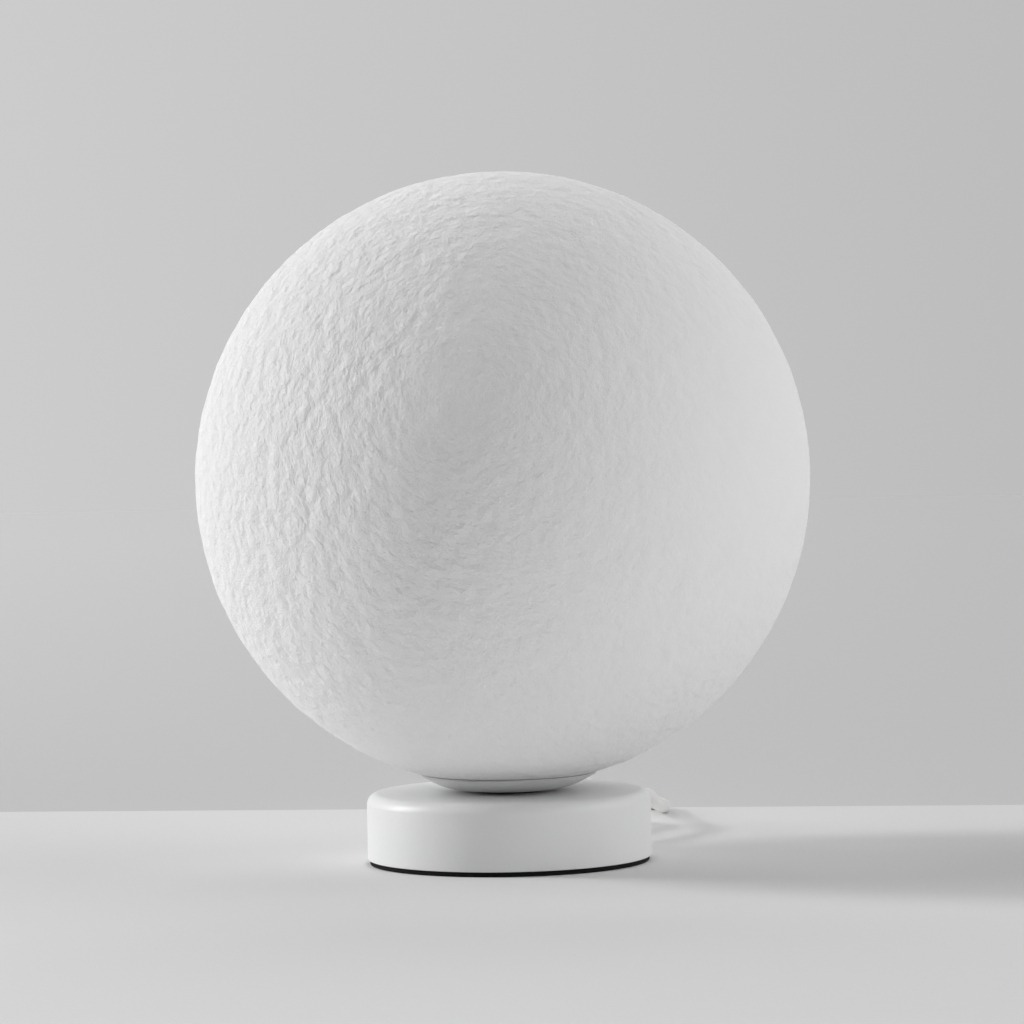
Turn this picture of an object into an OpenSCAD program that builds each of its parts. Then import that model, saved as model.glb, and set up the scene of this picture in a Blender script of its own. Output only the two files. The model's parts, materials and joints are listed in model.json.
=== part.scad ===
// Table lamp: a globe shade that sits in a shallow dish on a low round base.
// Millimetres. The origin is the centre of the mat's underside, +Z is up and -Y is the front.

/* [Globe] */
// Outside diameter of the globe
globe_d = 250; // [220:1:300]
// Thickness of the globe's wall
globe_wall = 2; // [1.6:0.1:3]

/* [Dish] */
// Radius of the dish's rim, which carries the globe
dish_rim_r = 36; // [33:0.5:42]
// Height of the dish from its underside to its rim
dish_h = 6.2; // [5:0.1:10]
// Radius of the dish's flat foot
dish_foot_r = 21; // [17:0.5:24]
// Thickness of the dish's sheet
dish_wall = 1.2; // [0.8:0.1:1.6]
// How far the globe's cut edge stays inside the rim
rim_inset = 0.3; // [0:0.1:1]
// Running gap between the rim and the globe's cut edge
seat_gap = 0.3; // [0.2:0.1:0.6]
// Height of the washer under the dish
washer_h = 1; // [0.8:0.1:3]
// Radius of the washer, which stays inside the dish's foot
washer_r = 15; // [12:0.5:17]
// How far the locating cup stands up inside the globe
cup_rise = 4.5; // [3:0.1:8]
// Radial clearance between the locating cup and the globe's opening
cup_gap = 0.4; // [0.3:0.1:1]

/* [Base] */
// Diameter of the base
base_d = 116; // [104:1:150]
// Height of the base housing
base_h = 27; // [25:0.5:40]
// Radius of the housing's rounded top edge
base_corner_r = 4.7; // [2.5:0.1:8]
// Thickness of the housing's sheet
base_wall = 1.5; // [1:0.1:2]
// Thickness of the mat under the base
mat_h = 2; // [1:0.1:4]
// How far the mat stays inside the housing's edge
mat_inset = 0.9; // [0.5:0.1:3]
// Thickness of the bottom plate
plate_t = 2; // [2:0.1:3]
// Gap around the bottom plate
plate_gap = 0.3; // [0.1:0.1:0.8]
// Thickness of the weight's disc
weight_disc_t = 8; // [6:0.5:10]
// Width of the weight's ring
weight_ring_w = 14; // [11:0.5:18]
// Gap between the weight and the housing's wall
weight_gap = 3.5; // [3:0.1:6]

/* [Wiring tube] */
// Outside radius of the wiring tube
tube_r = 5; // [5:0.1:6]
// Bore radius of the wiring tube
tube_bore_r = 4; // [3.5:0.1:4]
// Height of each tube nut
nut_h = 3; // [2:0.1:4]
// Distance across the flats of each tube nut
nut_af = 14; // [14:0.5:16]
// Thickness of the washer under the lower nut
tube_washer_t = 1.2; // [0.8:0.1:2]
// How far the tube stands out under the lower nut
tube_end = 1.5; // [0.5:0.1:3]

/* [Lamp holder] */
// Outside radius of the lamp holder
holder_r = 20; // [19.5:0.1:21]
// Wall of the holder's cap and body
holder_wall = 2; // [1.6:0.1:2.4]
// Height of the threaded boss at the foot of the cap
boss_h = 9; // [8:0.5:12]
// Radius of that boss
boss_r = 8; // [7.5:0.1:9]
// Height of the cap's cone
cap_cone_h = 7; // [6:0.5:9]
// Height of the holder's body above the cap
body_h = 25; // [25:0.5:28]
// Length of the holder's screw shell
shell_len = 23; // [21:0.5:23]
// Thickness of the contact block
block_t = 6; // [5:0.5:8]

/* [Bulb] */
// Largest diameter of the bulb
bulb_d = 45; // [42:1:50]
// Length of the bulb from its contact to its top
bulb_len = 78; // [75:1:84]
// Pitch of the bulb's round thread
thread_pitch = 3.63; // [3.6:0.01:3.7]
// Mean radius of that thread
thread_r = 12.68; // [12.6:0.01:12.8]
// Half of the thread's depth
thread_a = 0.54; // [0.4:0.01:0.56]
// Radial gap between the bulb's thread and the holder's
thread_gap = 0.3; // [0.25:0.05:0.4]
// Length of the bulb's threaded cap
thread_len = 19.2; // [18:0.1:20]

/* [Cord] */
// Diameter of the mains cord
cord_d = 6; // [5:0.1:6.5]
// Diameter of each insulated core
core_d = 1.8; // [1.4:0.1:2]
// Height of the cord where it leaves the base
exit_z = 16; // [15:0.5:16]
// Direction in which the cord leaves the base, in degrees from +X
exit_angle = 60; // [50:1:70]
// Length of the strain relief outside the base
relief_len = 26; // [20:1:30]
// Clearance between a bore and the shaft, cord or screw in it
bore_gap = 0.05; // [0.02:0.01:0.1]

/* [Cord switch] */
// Length of the cord switch
switch_len = 60; // [56:1:64]
// Width of the cord switch
switch_w = 24; // [23:0.5:26]
// Height of the switch's lower half, which is also the height of the cord in it
switch_low_h = 6.5; // [6.2:0.1:7]
// Height of the switch's cover
switch_cover_h = 7.9; // [7.5:0.1:9]
// Thickness of the switch's walls
switch_wall = 2; // [1.6:0.1:2.2]
// Tilt of the rocker to each side, in degrees
rocker_tilt = 9; // [6:1:10]
// Width of the rocker across the switch
rocker_w = 9.4; // [8:0.1:11]
// Radius of the rocker about its pivot
rocker_r = 7.1; // [6.5:0.1:7.5]
// Clearance around the rocker
rocker_gap = 0.4; // [0.3:0.1:0.8]
// Radius of the rocker's pivot pin
pivot_r = 1.2; // [1:0.1:1.3]

/* [Plug] */
// Width of the plug across its pins
plug_w = 35.3; // [34:0.1:37]
// Thickness of the plug
plug_t = 13.7; // [13:0.1:15]
// Length of the plug's straight part
plug_face_len = 13; // [11:0.5:14]
// Length of the plug's tapered part
plug_taper_len = 12; // [10:0.5:14]
// Length of the plug's own strain relief
plug_relief_len = 14; // [12:0.5:16]
// Diameter of each pin
pin_d = 4; // [3.8:0.1:4.8]
// Length of each pin
pin_len = 19; // [18:0.5:19]
// Length of the insulating sleeve on each pin
sleeve_len = 10; // [8:0.5:11]
// Distance between the pins' centres
pin_gap = 19; // [18:0.1:19]

/* [Hidden] */
$fn = 96;
sliver = 0.01;

// Heights of the base, from the table up
base_r = base_d / 2;
plate_top = mat_h + plate_t;
base_top = mat_h + base_h;
weight_r = base_r - base_wall - weight_gap;
weight_ring_r = weight_r - weight_ring_w;
weight_under = base_top - base_wall - weight_disc_t;

// The dish and the globe
dish_z = base_top + washer_h;
rim_z = dish_z + dish_h;
cut_z = rim_z + seat_gap;
cut_r = dish_rim_r - rim_inset;
globe_r = globe_d / 2;
globe_z = cut_z + sqrt(globe_r * globe_r - cut_r * cut_r);
globe_in_r = globe_r - globe_wall;
opening_r = sqrt(pow(globe_in_r, 2) - pow(globe_z - cut_z, 2));
// The dish's side is an arc that leaves its foot almost flat: centre height and radius of that arc
dish_run = dish_rim_r - dish_foot_r;
dish_rise_angle = 8;
dish_arc_r = (dish_run * dish_run + dish_h * dish_h)
    / (2 * (dish_h * cos(dish_rise_angle) - dish_run * sin(dish_rise_angle)));
dish_arc_steps = 10;
cup_t = 1.2;
cup_z = dish_z + dish_wall;
cup_r = opening_r - cup_gap;
cup_floor_r = dish_foot_r - 3;
cup_top = cut_z + cup_rise;
cup_shoulder_z = rim_z - 0.6;

// The wiring tube and its nuts
nut_r = nut_af / 2 / cos(30);
low_washer_z = weight_under - tube_washer_t;
low_nut_z = low_washer_z - nut_h;
tube_z = low_nut_z - tube_end;
top_nut_z = cup_z + cup_t;
tube_washer_r = 10;

// The lamp holder
holder_z = top_nut_z + nut_h;
cavity_z = holder_z + boss_h;
skirt_z = cavity_z + cap_cone_h;
ledge_t = 1.5;
sleeve_gap = 0.5;
shoulder_z = skirt_z + sleeve_gap + ledge_t + block_t;
body_top = shoulder_z + body_h;
sleeve_r = holder_r - holder_wall - 0.1;
block_r = 15;
block_gap = 0.2;
block_z = shoulder_z - block_t;
ledge_z = block_z - ledge_t;
contact_t = 1.3;
contact_rivet_r = 1.2;
side_contact_t = 1;
side_contact_x = [9, 14.2];
shell_z = shoulder_z + side_contact_t;
mouth_r = 14.4;
shell_top = shell_z + shell_len;
terminal_x = 8;
terminal_size = [6, 5, 5];
terminal_face = terminal_x - terminal_size[0] / 2;
terminal_z = block_z - terminal_size[2];
terminal_screw_r = 1.3;
terminal_screw_in = 1.4;
terminal_head_r = 2.2;
terminal_head_t = 1.5;
wire_z = terminal_z + 2.5;

// The bulb
bulb_gap = 0.2;
tip_z = shoulder_z + contact_t + bulb_gap;
tip_t = 1.5;
tip_r = 4.8;
insulator_h = 4;
cap_z = tip_z + tip_t + insulator_h;
cap_top = cap_z + thread_len;
cap_in_r = thread_r - thread_a - 0.5;
bulb_r = bulb_d / 2;
bulb_z = tip_z + bulb_len - bulb_r;
diffuser_z = bulb_z - bulb_r * 0.45;
diffuser_r = sqrt(bulb_r * bulb_r - pow(bulb_z - diffuser_z, 2));
diffuser_wall = 1.2;
board_t = 1.6;

// The round thread is a cosine in both height and angle, so a turn lifts it by one pitch.
// Near its ends it fades to one side: the bulb's to its root (-1), the holder's to its root (1).
thread_sides = 36;
thread_steps = 8;
thread_fade = 1.5;
function fade(z, z0, z1) = min(1, max(0, min(z - z0, z1 - z) / thread_fade));
function thread_at(z, a, z0, z1, end_side) =
    let (f = fade(z, z0, z1))
    thread_a * (f * cos(360 * z / thread_pitch - a) + (1 - f) * end_side);

// The coil that the rest of the cord is wound into: four turns, and three more in their grooves
coil_at = [5, base_r + 51];
coil_mid_r = 33;
coil_low_turns = 4;
coil_top_turns = 3;
coil_layer = cord_d * sin(60);
coil_h = cord_d + coil_layer;
coil_low_half = coil_low_turns * cord_d / 2;
coil_top_half = coil_top_turns * cord_d / 2;
tie_angle = 150;
tie_w = 8;
tie_t = 0.8;

// The plug lies flat on the coil
plug_x = -4;
plug_z = coil_h + plug_t / 2;
plug_end_y = base_r + 66;
plug_relief_r = 5.2;
plug_back_y = plug_end_y - plug_relief_len;
plug_mid_y = plug_back_y - plug_taper_len;
plug_face_y = plug_mid_y - plug_face_len;
sleeve_t = 0.6;
sleeve_in_r = pin_d / 2 - sleeve_t;

// The cord: where it leaves the base, and the points of its route
cord_r = cord_d / 2;
core_r = core_d / 2;
exit_dir = [cos(exit_angle), sin(exit_angle), 0];
exit_side = [-sin(exit_angle), cos(exit_angle), 0];
relief_barrel_r = cord_r + 2;
relief_flange_r = cord_r + 3.6;
relief_flange_t = 2;
relief_inner_flange_r = cord_r + 3.8;
relief_inner_flange_t = 1.6;
relief_tip_wall = 0.7;
relief_tip_r = base_r + relief_len;
relief_tip = relief_tip_r * exit_dir + [0, 0, exit_z];
clamp_at = 30;
clamp_size = [8, 22, 8.5];
clamp_screw_gap = 16;
inner_cord_r = 22;
cord_sides = 10;
relief_lead = relief_tip + 3 * exit_dir;
// The free cord, its switch, its coil and its plug lie behind the base, so y starts at the base's back
function behind(points) = [for (p = points) p + [0, base_r, 0]];
switch_route = concat([relief_tip, relief_lead], behind([
    [48, 25, 16.2], [52.5, 34, 16.2], [56.5, 44, 15.8], [59.5, 55, 15], [61.5, 67, 13.6], [63, 80, 11.4],
    [65, 93, 8.4], [67.5, 105, 5.6], [69.8, 116, 3.8], [70.5, 126, 3], [68.4, 135.4, 3],
    [62.6, 142.4, 3.2], [54.6, 145.8, 4.4], [47, 146, 5.8], [42.5, 146, 6.5], [40, 146, 6.5]
]));
coil_route = behind([
    [-20, 146, 6.5], [-22.5, 146, 6.5], [-29.5, 145.2, 5.4], [-37, 142, 3.8], [-43, 136.2, 3.1],
    [-46.6, 128, 3], [-48, 118, 3], [-48.4, 106, 3], [-47.6, 93, 3], [-45.8, 80, 3],
    [-43.2, 68, 3], [-40.2, 56, 3], [-37.6, 46, 3]
]);
plug_route = behind([
    [41.6, 37.7, 8.4], [43.6, 46, 9], [44.2, 54, 11.2], [44.2, 62, 13.6], [43, 72, 14.4],
    [39, 80.5, 14.6], [32, 87, 15], [22, 90, 15.6], [12, 88.8, 16.4], [3.5, 83.3, 17.2],
    [-2, 75, 17.9], [-4, 68.5, plug_z], [-4, 66, plug_z]
]);

// The cord switch
switch_at = [10, base_r + 146, 0];
switch_h = switch_low_h + switch_cover_h;
switch_in_w = switch_w - 2 * switch_wall;
pivot_z = switch_h - 2.8;
rocker_valley = 2.6;
rocker_rise = 1;
rocker_top_half = 6.3;
rocker_low_half = 5;
rocker_under = 3.2;
lug_t = 1.6;
lug_r = 2.8;
pivot_half = rocker_w / 2 + rocker_gap + lug_t;
switch_screw_at = [15, -7.6];
switch_boss_r = 2.6;
switch_screw_r = 1.1;
switch_head_r = 2;
switch_head_t = 1.4;
lead_end = 17;
live_y = -4.4;
neutral_y = 5.2;
pole_x = 9;
pole_screw_x = 10;
pole_screw_r = 0.9;
pole_screw_in = 2.4;
pole_head_r = 1.5;
pole_size = [5, 3.6, 3.6];
strip_t = 0.5;
strip_w = 2.4;
strip_tilt = 4;

// Screws of the base
plate_screw_r = 2;
plate_screw_at = weight_r - weight_ring_w / 2;
plate_screw_angles = [for (k = [0 : 2]) exit_angle + 60 + 120 * k];
plate_screw_len = 12;
plate_head_r = 3.6;
plate_head_share = 0.8;
clamp_screw_r = 1.5;
clamp_head_t = 2;
clamp_screw_in = 5;

// A ring about +Z from z0 to z1, between two radii
module ring(r_out, r_in, z0, z1) {
    translate([0, 0, z0])
        difference() {
            cylinder(r = r_out, h = z1 - z0);
            translate([0, 0, -1])
                cylinder(r = r_in, h = z1 - z0 + 2);
        }
}

// A round rod from one point to another
module rod(from, to, r) {
    d = to - from;
    len = norm(d);
    translate(from)
        rotate([0, acos(d[2] / len), atan2(d[1], d[0])])
            cylinder(r = r, h = len, $fn = 32);
}

// A tube swept along a list of points; ref is never parallel to the route
function unit(v) = v / norm(v);
function tangent(p, i) = unit(p[min(i + 1, len(p) - 1)] - p[max(i - 1, 0)]);
function ring_points(at, dir, ref, r, sides) =
    let (side = unit(cross(dir, ref)), up = cross(side, dir))
    [for (k = [0 : sides - 1]) at + r * (cos(360 * k / sides) * side + sin(360 * k / sides) * up)];
module sweep(route, r, sides, ref = [0, 0, 1]) {
    n = len(route);
    points = [for (i = [0 : n - 1]) each ring_points(route[i], tangent(route, i), ref, r, sides)];
    sides_faces = [
        for (i = [0 : n - 2]) for (k = [0 : sides - 1])
            let (a = i * sides + k, b = i * sides + (k + 1) % sides)
            each [[a, a + sides, b], [b, a + sides, b + sides]]
    ];
    start_face = [[for (k = [0 : sides - 1]) k]];
    end_face = [[for (k = [sides - 1 : -1 : 0]) (n - 1) * sides + k]];
    polyhedron(points, concat(sides_faces, start_face, end_face), convexity = 8);
}

// Stacked rings of points, joined into one closed surface, the last ring to the first
module ring_stack(rings, sides) {
    n = len(rings);
    points = [for (r = rings) each r];
    faces = [
        for (i = [0 : n - 1]) for (k = [0 : sides - 1])
            let (j = (i + 1) % n, a = i * sides + k, b = i * sides + (k + 1) % sides,
                 c = j * sides + k, d = j * sides + (k + 1) % sides)
            each [[a, c, b], [b, c, d]]
    ];
    polyhedron(points, faces, convexity = 8);
}
function circle_points(r, z, sides) =
    [for (k = [0 : sides - 1]) [r * cos(360 * k / sides), r * sin(360 * k / sides), z]];
function thread_points(r, z, z0, z1, end_side) =
    [for (k = [0 : thread_sides - 1])
        let (a = 360 * k / thread_sides, q = r + thread_at(z, a, z0, z1, end_side))
        [q * cos(a), q * sin(a), z]];

// Half outline of a round block with a rounded top edge, for turning about Z
module puck_outline(r, h, corner) {
    square([r - corner, h]);
    square([r, h - corner]);
    translate([r - corner, h - corner])
        circle(r = corner);
}

// Plan outline with round ends
module stadium(length, width) {
    end_x = (length - width) / 2;
    square([2 * end_x, width], center = true);
    for (s = [-1, 1])
        translate([s * end_x, 0])
            circle(d = width);
}

// ---- Globe and dish ----

module moon_shade() {
    color([0.93, 0.93, 0.92])
        translate([0, 0, globe_z])
            rotate_extrude($fn = 180)
                intersection() {
                    difference() {
                        circle(r = globe_r);
                        circle(r = globe_in_r);
                    }
                    translate([0, cut_z - globe_z])
                        square([globe_d, globe_d * 2]);
                }
}

// Points of the dish's side: an arc from the foot to the rim, moved in by an offset along its normal
function dish_arc_point(t, inward) =
    let (
        chord = atan2(dish_h, dish_run),
        half = chord - dish_rise_angle,
        a = dish_rise_angle + 2 * half * t,
        r = dish_arc_r - inward
    )
    [
        dish_foot_r - dish_arc_r * sin(dish_rise_angle) + r * sin(a),
        dish_arc_r * cos(dish_rise_angle) - r * cos(a)
    ];

module shade_dish() {
    outer = [for (i = [0 : dish_arc_steps]) dish_arc_point(i / dish_arc_steps, 0)];
    inner = [for (i = [dish_arc_steps : -1 : 0]) dish_arc_point(i / dish_arc_steps, dish_wall)];
    color([0.92, 0.92, 0.91])
        translate([0, 0, dish_z])
            rotate_extrude()
                difference() {
                    intersection() {
                        union() {
                            polygon(concat(outer, inner));
                            square([dish_foot_r, dish_wall]);
                        }
                        square([dish_rim_r, dish_h]);
                    }
                    square([tube_r + bore_gap, dish_h]);
                }
}

module dish_washer() {
    color([0.04, 0.04, 0.04])
        ring(washer_r, tube_r + bore_gap, base_top, dish_z);
}

module locating_cup() {
    color([0.75, 0.75, 0.75])
        rotate_extrude()
            polygon([
                [tube_r + bore_gap, cup_z], [cup_floor_r, cup_z],
                [cup_r, cup_shoulder_z], [cup_r, cup_top],
                [cup_r - cup_t, cup_top], [cup_r - cup_t, cup_shoulder_z + 0.4],
                [cup_floor_r - 0.4, cup_z + cup_t], [tube_r + bore_gap, cup_z + cup_t]
            ]);
}

// ---- Base ----

// What runs radially out of the base is drawn along +X and turned to the exit
module at_exit() {
    rotate([0, 0, exit_angle])
        translate([0, 0, exit_z])
            rotate([0, 90, 0])
                children();
}

module base_housing() {
    color([0.93, 0.93, 0.92])
        difference() {
            translate([0, 0, mat_h])
                rotate_extrude($fn = 180)
                    difference() {
                        puck_outline(base_r, base_h, base_corner_r);
                        translate([0, -1])
                            puck_outline(base_r - base_wall, base_h - base_wall + 1,
                                         base_corner_r - base_wall);
                    }
            translate([0, 0, base_top - base_wall - 1])
                cylinder(r = tube_r + bore_gap, h = base_wall + 2);
            at_exit()
                cylinder(r = relief_barrel_r + bore_gap, h = base_r + 1);
        }
}

module base_weight() {
    slot_w = 2 * relief_inner_flange_r + 4;
    color([0.25, 0.25, 0.26])
        difference() {
            union() {
                ring(weight_r, tube_r + bore_gap, weight_under, base_top - base_wall);
                ring(weight_r, weight_ring_r, plate_top, weight_under + sliver);
            }
            rotate([0, 0, exit_angle])
                translate([weight_ring_r - 2, -slot_w / 2, 0])
                    cube([weight_ring_w + 4, slot_w, weight_under]);
            for (a = plate_screw_angles)
                rotate([0, 0, a])
                    translate([plate_screw_at, 0, 0])
                        cylinder(r = plate_screw_r + bore_gap, h = mat_h + plate_screw_len + 0.5, $fn = 32);
            clamp_screw_places()
                cylinder(r = clamp_screw_r + bore_gap, h = weight_under + clamp_screw_in + 0.5, $fn = 32);
        }
}

module clamp_screw_places() {
    for (s = [-1, 1])
        translate(clamp_at * exit_dir + s * clamp_screw_gap / 2 * exit_side)
            children();
}

module countersunk(r_head, r_shank, head_h, length) {
    cylinder(r1 = r_head, r2 = r_shank, h = head_h, $fn = 32);
    cylinder(r = r_shank, h = length, $fn = 32);
}

module bottom_plate() {
    color([0.6, 0.6, 0.61])
        difference() {
            translate([0, 0, mat_h])
                cylinder(r = base_r - base_wall - plate_gap, h = plate_t);
            for (a = plate_screw_angles)
                rotate([0, 0, a])
                    translate([plate_screw_at, 0, mat_h - sliver])
                        countersunk(plate_head_r + bore_gap, plate_screw_r + bore_gap,
                                    plate_head_share * plate_t, plate_t + 1);
        }
}

module plate_screws() {
    color([0.7, 0.7, 0.7])
        for (a = plate_screw_angles)
            rotate([0, 0, a])
                translate([plate_screw_at, 0, mat_h])
                    difference() {
                        countersunk(plate_head_r, plate_screw_r, plate_head_share * plate_t,
                                    plate_screw_len);
                        for (q = [0, 90])
                            rotate([0, 0, q])
                                translate([-2, -0.4, -1])
                                    cube([4, 0.8, 1.9]);
                    }
}

module foot_mat() {
    color([0.04, 0.04, 0.04])
        cylinder(r = base_r - mat_inset, h = mat_h, $fn = 180);
}

// ---- Wiring tube ----

module lamp_tube() {
    color([0.75, 0.7, 0.5])
        ring(tube_r, tube_bore_r, tube_z, cavity_z);
}

module nut_at(z) {
    translate([0, 0, z])
        difference() {
            cylinder(r = nut_r, h = nut_h, $fn = 6);
            translate([0, 0, -1])
                cylinder(r = tube_r + bore_gap, h = nut_h + 2);
        }
}

module tube_nuts() {
    color([0.78, 0.72, 0.45]) {
        nut_at(low_nut_z);
        nut_at(top_nut_z);
    }
}

module tube_washer() {
    color([0.7, 0.7, 0.7])
        ring(tube_washer_r, tube_r + bore_gap, low_washer_z, weight_under);
}

// ---- Lamp holder ----

module holder_cap() {
    color([0.9, 0.9, 0.88])
        rotate_extrude()
            polygon([
                [tube_r + bore_gap, holder_z], [boss_r, holder_z], [boss_r + 1, cavity_z - 1],
                [holder_r, skirt_z], [holder_r, shoulder_z],
                [holder_r - holder_wall, shoulder_z], [holder_r - holder_wall, skirt_z + 0.3],
                [boss_r - 1, cavity_z], [tube_r + bore_gap, cavity_z]
            ]);
}

module holder_body() {
    color([0.9, 0.9, 0.88])
        rotate_extrude()
            polygon([
                [block_r - 2, ledge_z], [sleeve_r, ledge_z], [sleeve_r, shoulder_z], [holder_r, shoulder_z],
                [holder_r, body_top - 1.5], [holder_r - 1.5, body_top], [mouth_r, body_top],
                [mouth_r, shell_top + 0.1], [block_r + block_gap, shell_top + 0.1],
                [block_r + block_gap, block_z], [block_r - 2, block_z]
            ]);
}

module holder_screw_shell() {
    steps = ceil((shell_top - shell_z) / thread_pitch * thread_steps);
    step = (shell_top - shell_z) / steps;
    inside = [for (i = [steps : -1 : 0])
        thread_points(thread_r + thread_gap, shell_z + i * step, shell_z, shell_top, 1)];
    outside = [for (z = [shell_z, shell_top]) circle_points(block_r, z, thread_sides)];
    color([0.8, 0.68, 0.35])
        ring_stack(concat(inside, outside), thread_sides);
}

module holder_contact_block() {
    color([0.92, 0.91, 0.88])
        difference() {
            translate([0, 0, block_z])
                cylinder(r = block_r, h = block_t);
            for (x = [0, side_contact_x[0] + 2])
                translate([x, 0, block_z - 1])
                    cylinder(r = contact_rivet_r + bore_gap, h = block_t + 2, $fn = 32);
        }
}

module holder_contacts() {
    color([0.82, 0.7, 0.38]) {
        translate([0, 0, shoulder_z])
            cylinder(r = 3.6, h = contact_t, $fn = 32);
        translate([0, 0, block_z])
            cylinder(r = contact_rivet_r, h = block_t + sliver, $fn = 32);
        translate([side_contact_x[0], -2, shoulder_z])
            cube([side_contact_x[1] - side_contact_x[0], 4, side_contact_t]);
        translate([side_contact_x[0] + 2, 0, block_z])
            cylinder(r = contact_rivet_r, h = block_t + sliver, $fn = 32);
    }
}

module holder_terminals() {
    color([0.82, 0.7, 0.38])
        for (s = [-1, 1])
            difference() {
                translate([s * terminal_x - terminal_size[0] / 2, -terminal_size[1] / 2, terminal_z])
                    cube(terminal_size);
                rod([s * terminal_x, -terminal_size[1], wire_z], [s * terminal_x, -1, wire_z],
                    terminal_screw_r + bore_gap);
            }
}

module terminal_screws() {
    color([0.7, 0.7, 0.7])
        for (s = [-1, 1])
            translate([s * terminal_x, -terminal_size[1] / 2, wire_z])
                rotate([90, 0, 0])
                    difference() {
                        union() {
                            cylinder(r = terminal_head_r, h = terminal_head_t, $fn = 32);
                            translate([0, 0, -terminal_screw_in])
                                cylinder(r = terminal_screw_r, h = terminal_screw_in + sliver, $fn = 32);
                        }
                        translate([-3, -0.3, terminal_head_t - 0.6])
                            cube([6, 0.6, 1]);
                    }
}

// ---- Bulb ----

module bulb_cap() {
    steps = ceil(thread_len / thread_pitch * thread_steps);
    step = thread_len / steps;
    outside = [for (i = [0 : steps]) thread_points(thread_r, cap_z + i * step, cap_z, cap_top, -1)];
    inside = [for (z = [cap_top, cap_z]) circle_points(cap_in_r, z, thread_sides)];
    color([0.8, 0.8, 0.8])
        ring_stack(concat(outside, inside), thread_sides);
}

module bulb_insulator() {
    color([0.05, 0.05, 0.05])
        translate([0, 0, cap_z - insulator_h])
            cylinder(r1 = tip_r + 0.4, r2 = cap_in_r, h = insulator_h);
}

module bulb_tip_contact() {
    color([0.75, 0.75, 0.75])
        translate([0, 0, tip_z])
            cylinder(r1 = tip_r - 1, r2 = tip_r, h = tip_t);
}

module bulb_housing() {
    neck_r = thread_r + 1.2;
    color([0.93, 0.93, 0.92])
        rotate_extrude()
            polygon([
                [0, cap_top], [neck_r, cap_top], [neck_r + 0.4, cap_top + 4],
                [diffuser_r - 1.2, diffuser_z - 4], [diffuser_r, diffuser_z], [0, diffuser_z]
            ]);
}

module led_board() {
    color([0.9, 0.9, 0.9])
        translate([0, 0, diffuser_z])
            cylinder(r = diffuser_r - 3, h = board_t);
}

module bulb_diffuser() {
    color([0.95, 0.95, 0.93])
        translate([0, 0, bulb_z])
            rotate_extrude()
                intersection() {
                    difference() {
                        circle(r = bulb_r);
                        circle(r = bulb_r - diffuser_wall);
                    }
                    translate([0, diffuser_z - bulb_z])
                        square([bulb_d, bulb_d * 2]);
                }
}

// ---- Cord inside the base ----

module strain_relief() {
    wall_in = sqrt(pow(base_r - base_wall, 2) - pow(relief_inner_flange_r, 2));
    color([0.93, 0.93, 0.92])
        at_exit()
            difference() {
                union() {
                    translate([0, 0, wall_in - relief_inner_flange_t])
                        cylinder(r = relief_inner_flange_r, h = relief_inner_flange_t);
                    translate([0, 0, wall_in - sliver])
                        cylinder(r = relief_barrel_r, h = base_r - wall_in + 2 * sliver);
                    translate([0, 0, base_r])
                        cylinder(r = relief_flange_r, h = relief_flange_t);
                    translate([0, 0, base_r + relief_flange_t - sliver])
                        cylinder(r1 = relief_barrel_r + 0.6, r2 = cord_r + relief_tip_wall,
                                 h = relief_len - relief_flange_t + sliver);
                }
                translate([0, 0, wall_in - 2])
                    cylinder(r = cord_r + bore_gap, h = relief_len + 10);
            }
}

module cord_clamp() {
    color([0.9, 0.9, 0.88])
        difference() {
            rotate([0, 0, exit_angle])
                translate([clamp_at - clamp_size[0] / 2, -clamp_size[1] / 2, weight_under - clamp_size[2]])
                    cube(clamp_size);
            at_exit()
                cylinder(r = cord_r + bore_gap, h = base_r);
            rotate([0, 0, exit_angle])
                translate([0, -cord_r - bore_gap, exit_z])
                    cube([base_r, 2 * (cord_r + bore_gap), cord_d]);
            clamp_screw_places()
                cylinder(r = clamp_screw_r + bore_gap, h = weight_under + 1, $fn = 32);
        }
}

module clamp_screws() {
    foot_z = weight_under - clamp_size[2];
    color([0.7, 0.7, 0.7])
        clamp_screw_places()
            translate([0, 0, foot_z - clamp_head_t])
                difference() {
                    union() {
                        cylinder(r = clamp_screw_r * 1.8, h = clamp_head_t, $fn = 32);
                        cylinder(r = clamp_screw_r, h = clamp_head_t + clamp_size[2] + clamp_screw_in,
                                 $fn = 32);
                    }
                    for (q = [0, 90])
                        rotate([0, 0, q])
                            translate([-1.6, -0.35, -1])
                                cube([3.2, 0.7, 2]);
                }
}

module inner_cord() {
    color([0.93, 0.93, 0.92])
        at_exit()
            translate([0, 0, inner_cord_r])
                cylinder(r = cord_r, h = relief_tip_r - inner_cord_r);
}

module holder_wires() {
    drop = tube_z - 4.5;
    core_gap = 2.6;
    // How far from the axis and how high the pair of cores runs, from the cord's end up the tube
    low_route = [
        [inner_cord_r, exit_z], [inner_cord_r - 1, exit_z], [18, exit_z - 1.2], [13, exit_z - 4],
        [8, drop + 0.6], [4.5, drop - 0.6], [1.6, drop + 0.4], [0.3, drop + 3.4],
        [0, tube_z + 2], [0, tube_z + 14], [0, cavity_z - 6], [0, cavity_z - 1]
    ];
    for (s = [-1, 1]) {
        side = s * core_gap / 2 * exit_side;
        low = [for (q = low_route) q[0] * exit_dir + [0, 0, q[1]] + side];
        high = [
            [-s * 2.2, side[1] * 0.6, cavity_z + 1.6],
            [-s * 3.2, side[1] * 0.2, wire_z - 0.9],
            [-s * (terminal_face - 0.8), 0, wire_z],
            [-s * terminal_face, 0, wire_z]
        ];
        color(s > 0 ? [0.35, 0.18, 0.08] : [0.1, 0.25, 0.6])
            sweep(concat(low, high), core_r, 8, exit_side);
    }
}

// ---- Free cord ----

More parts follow.
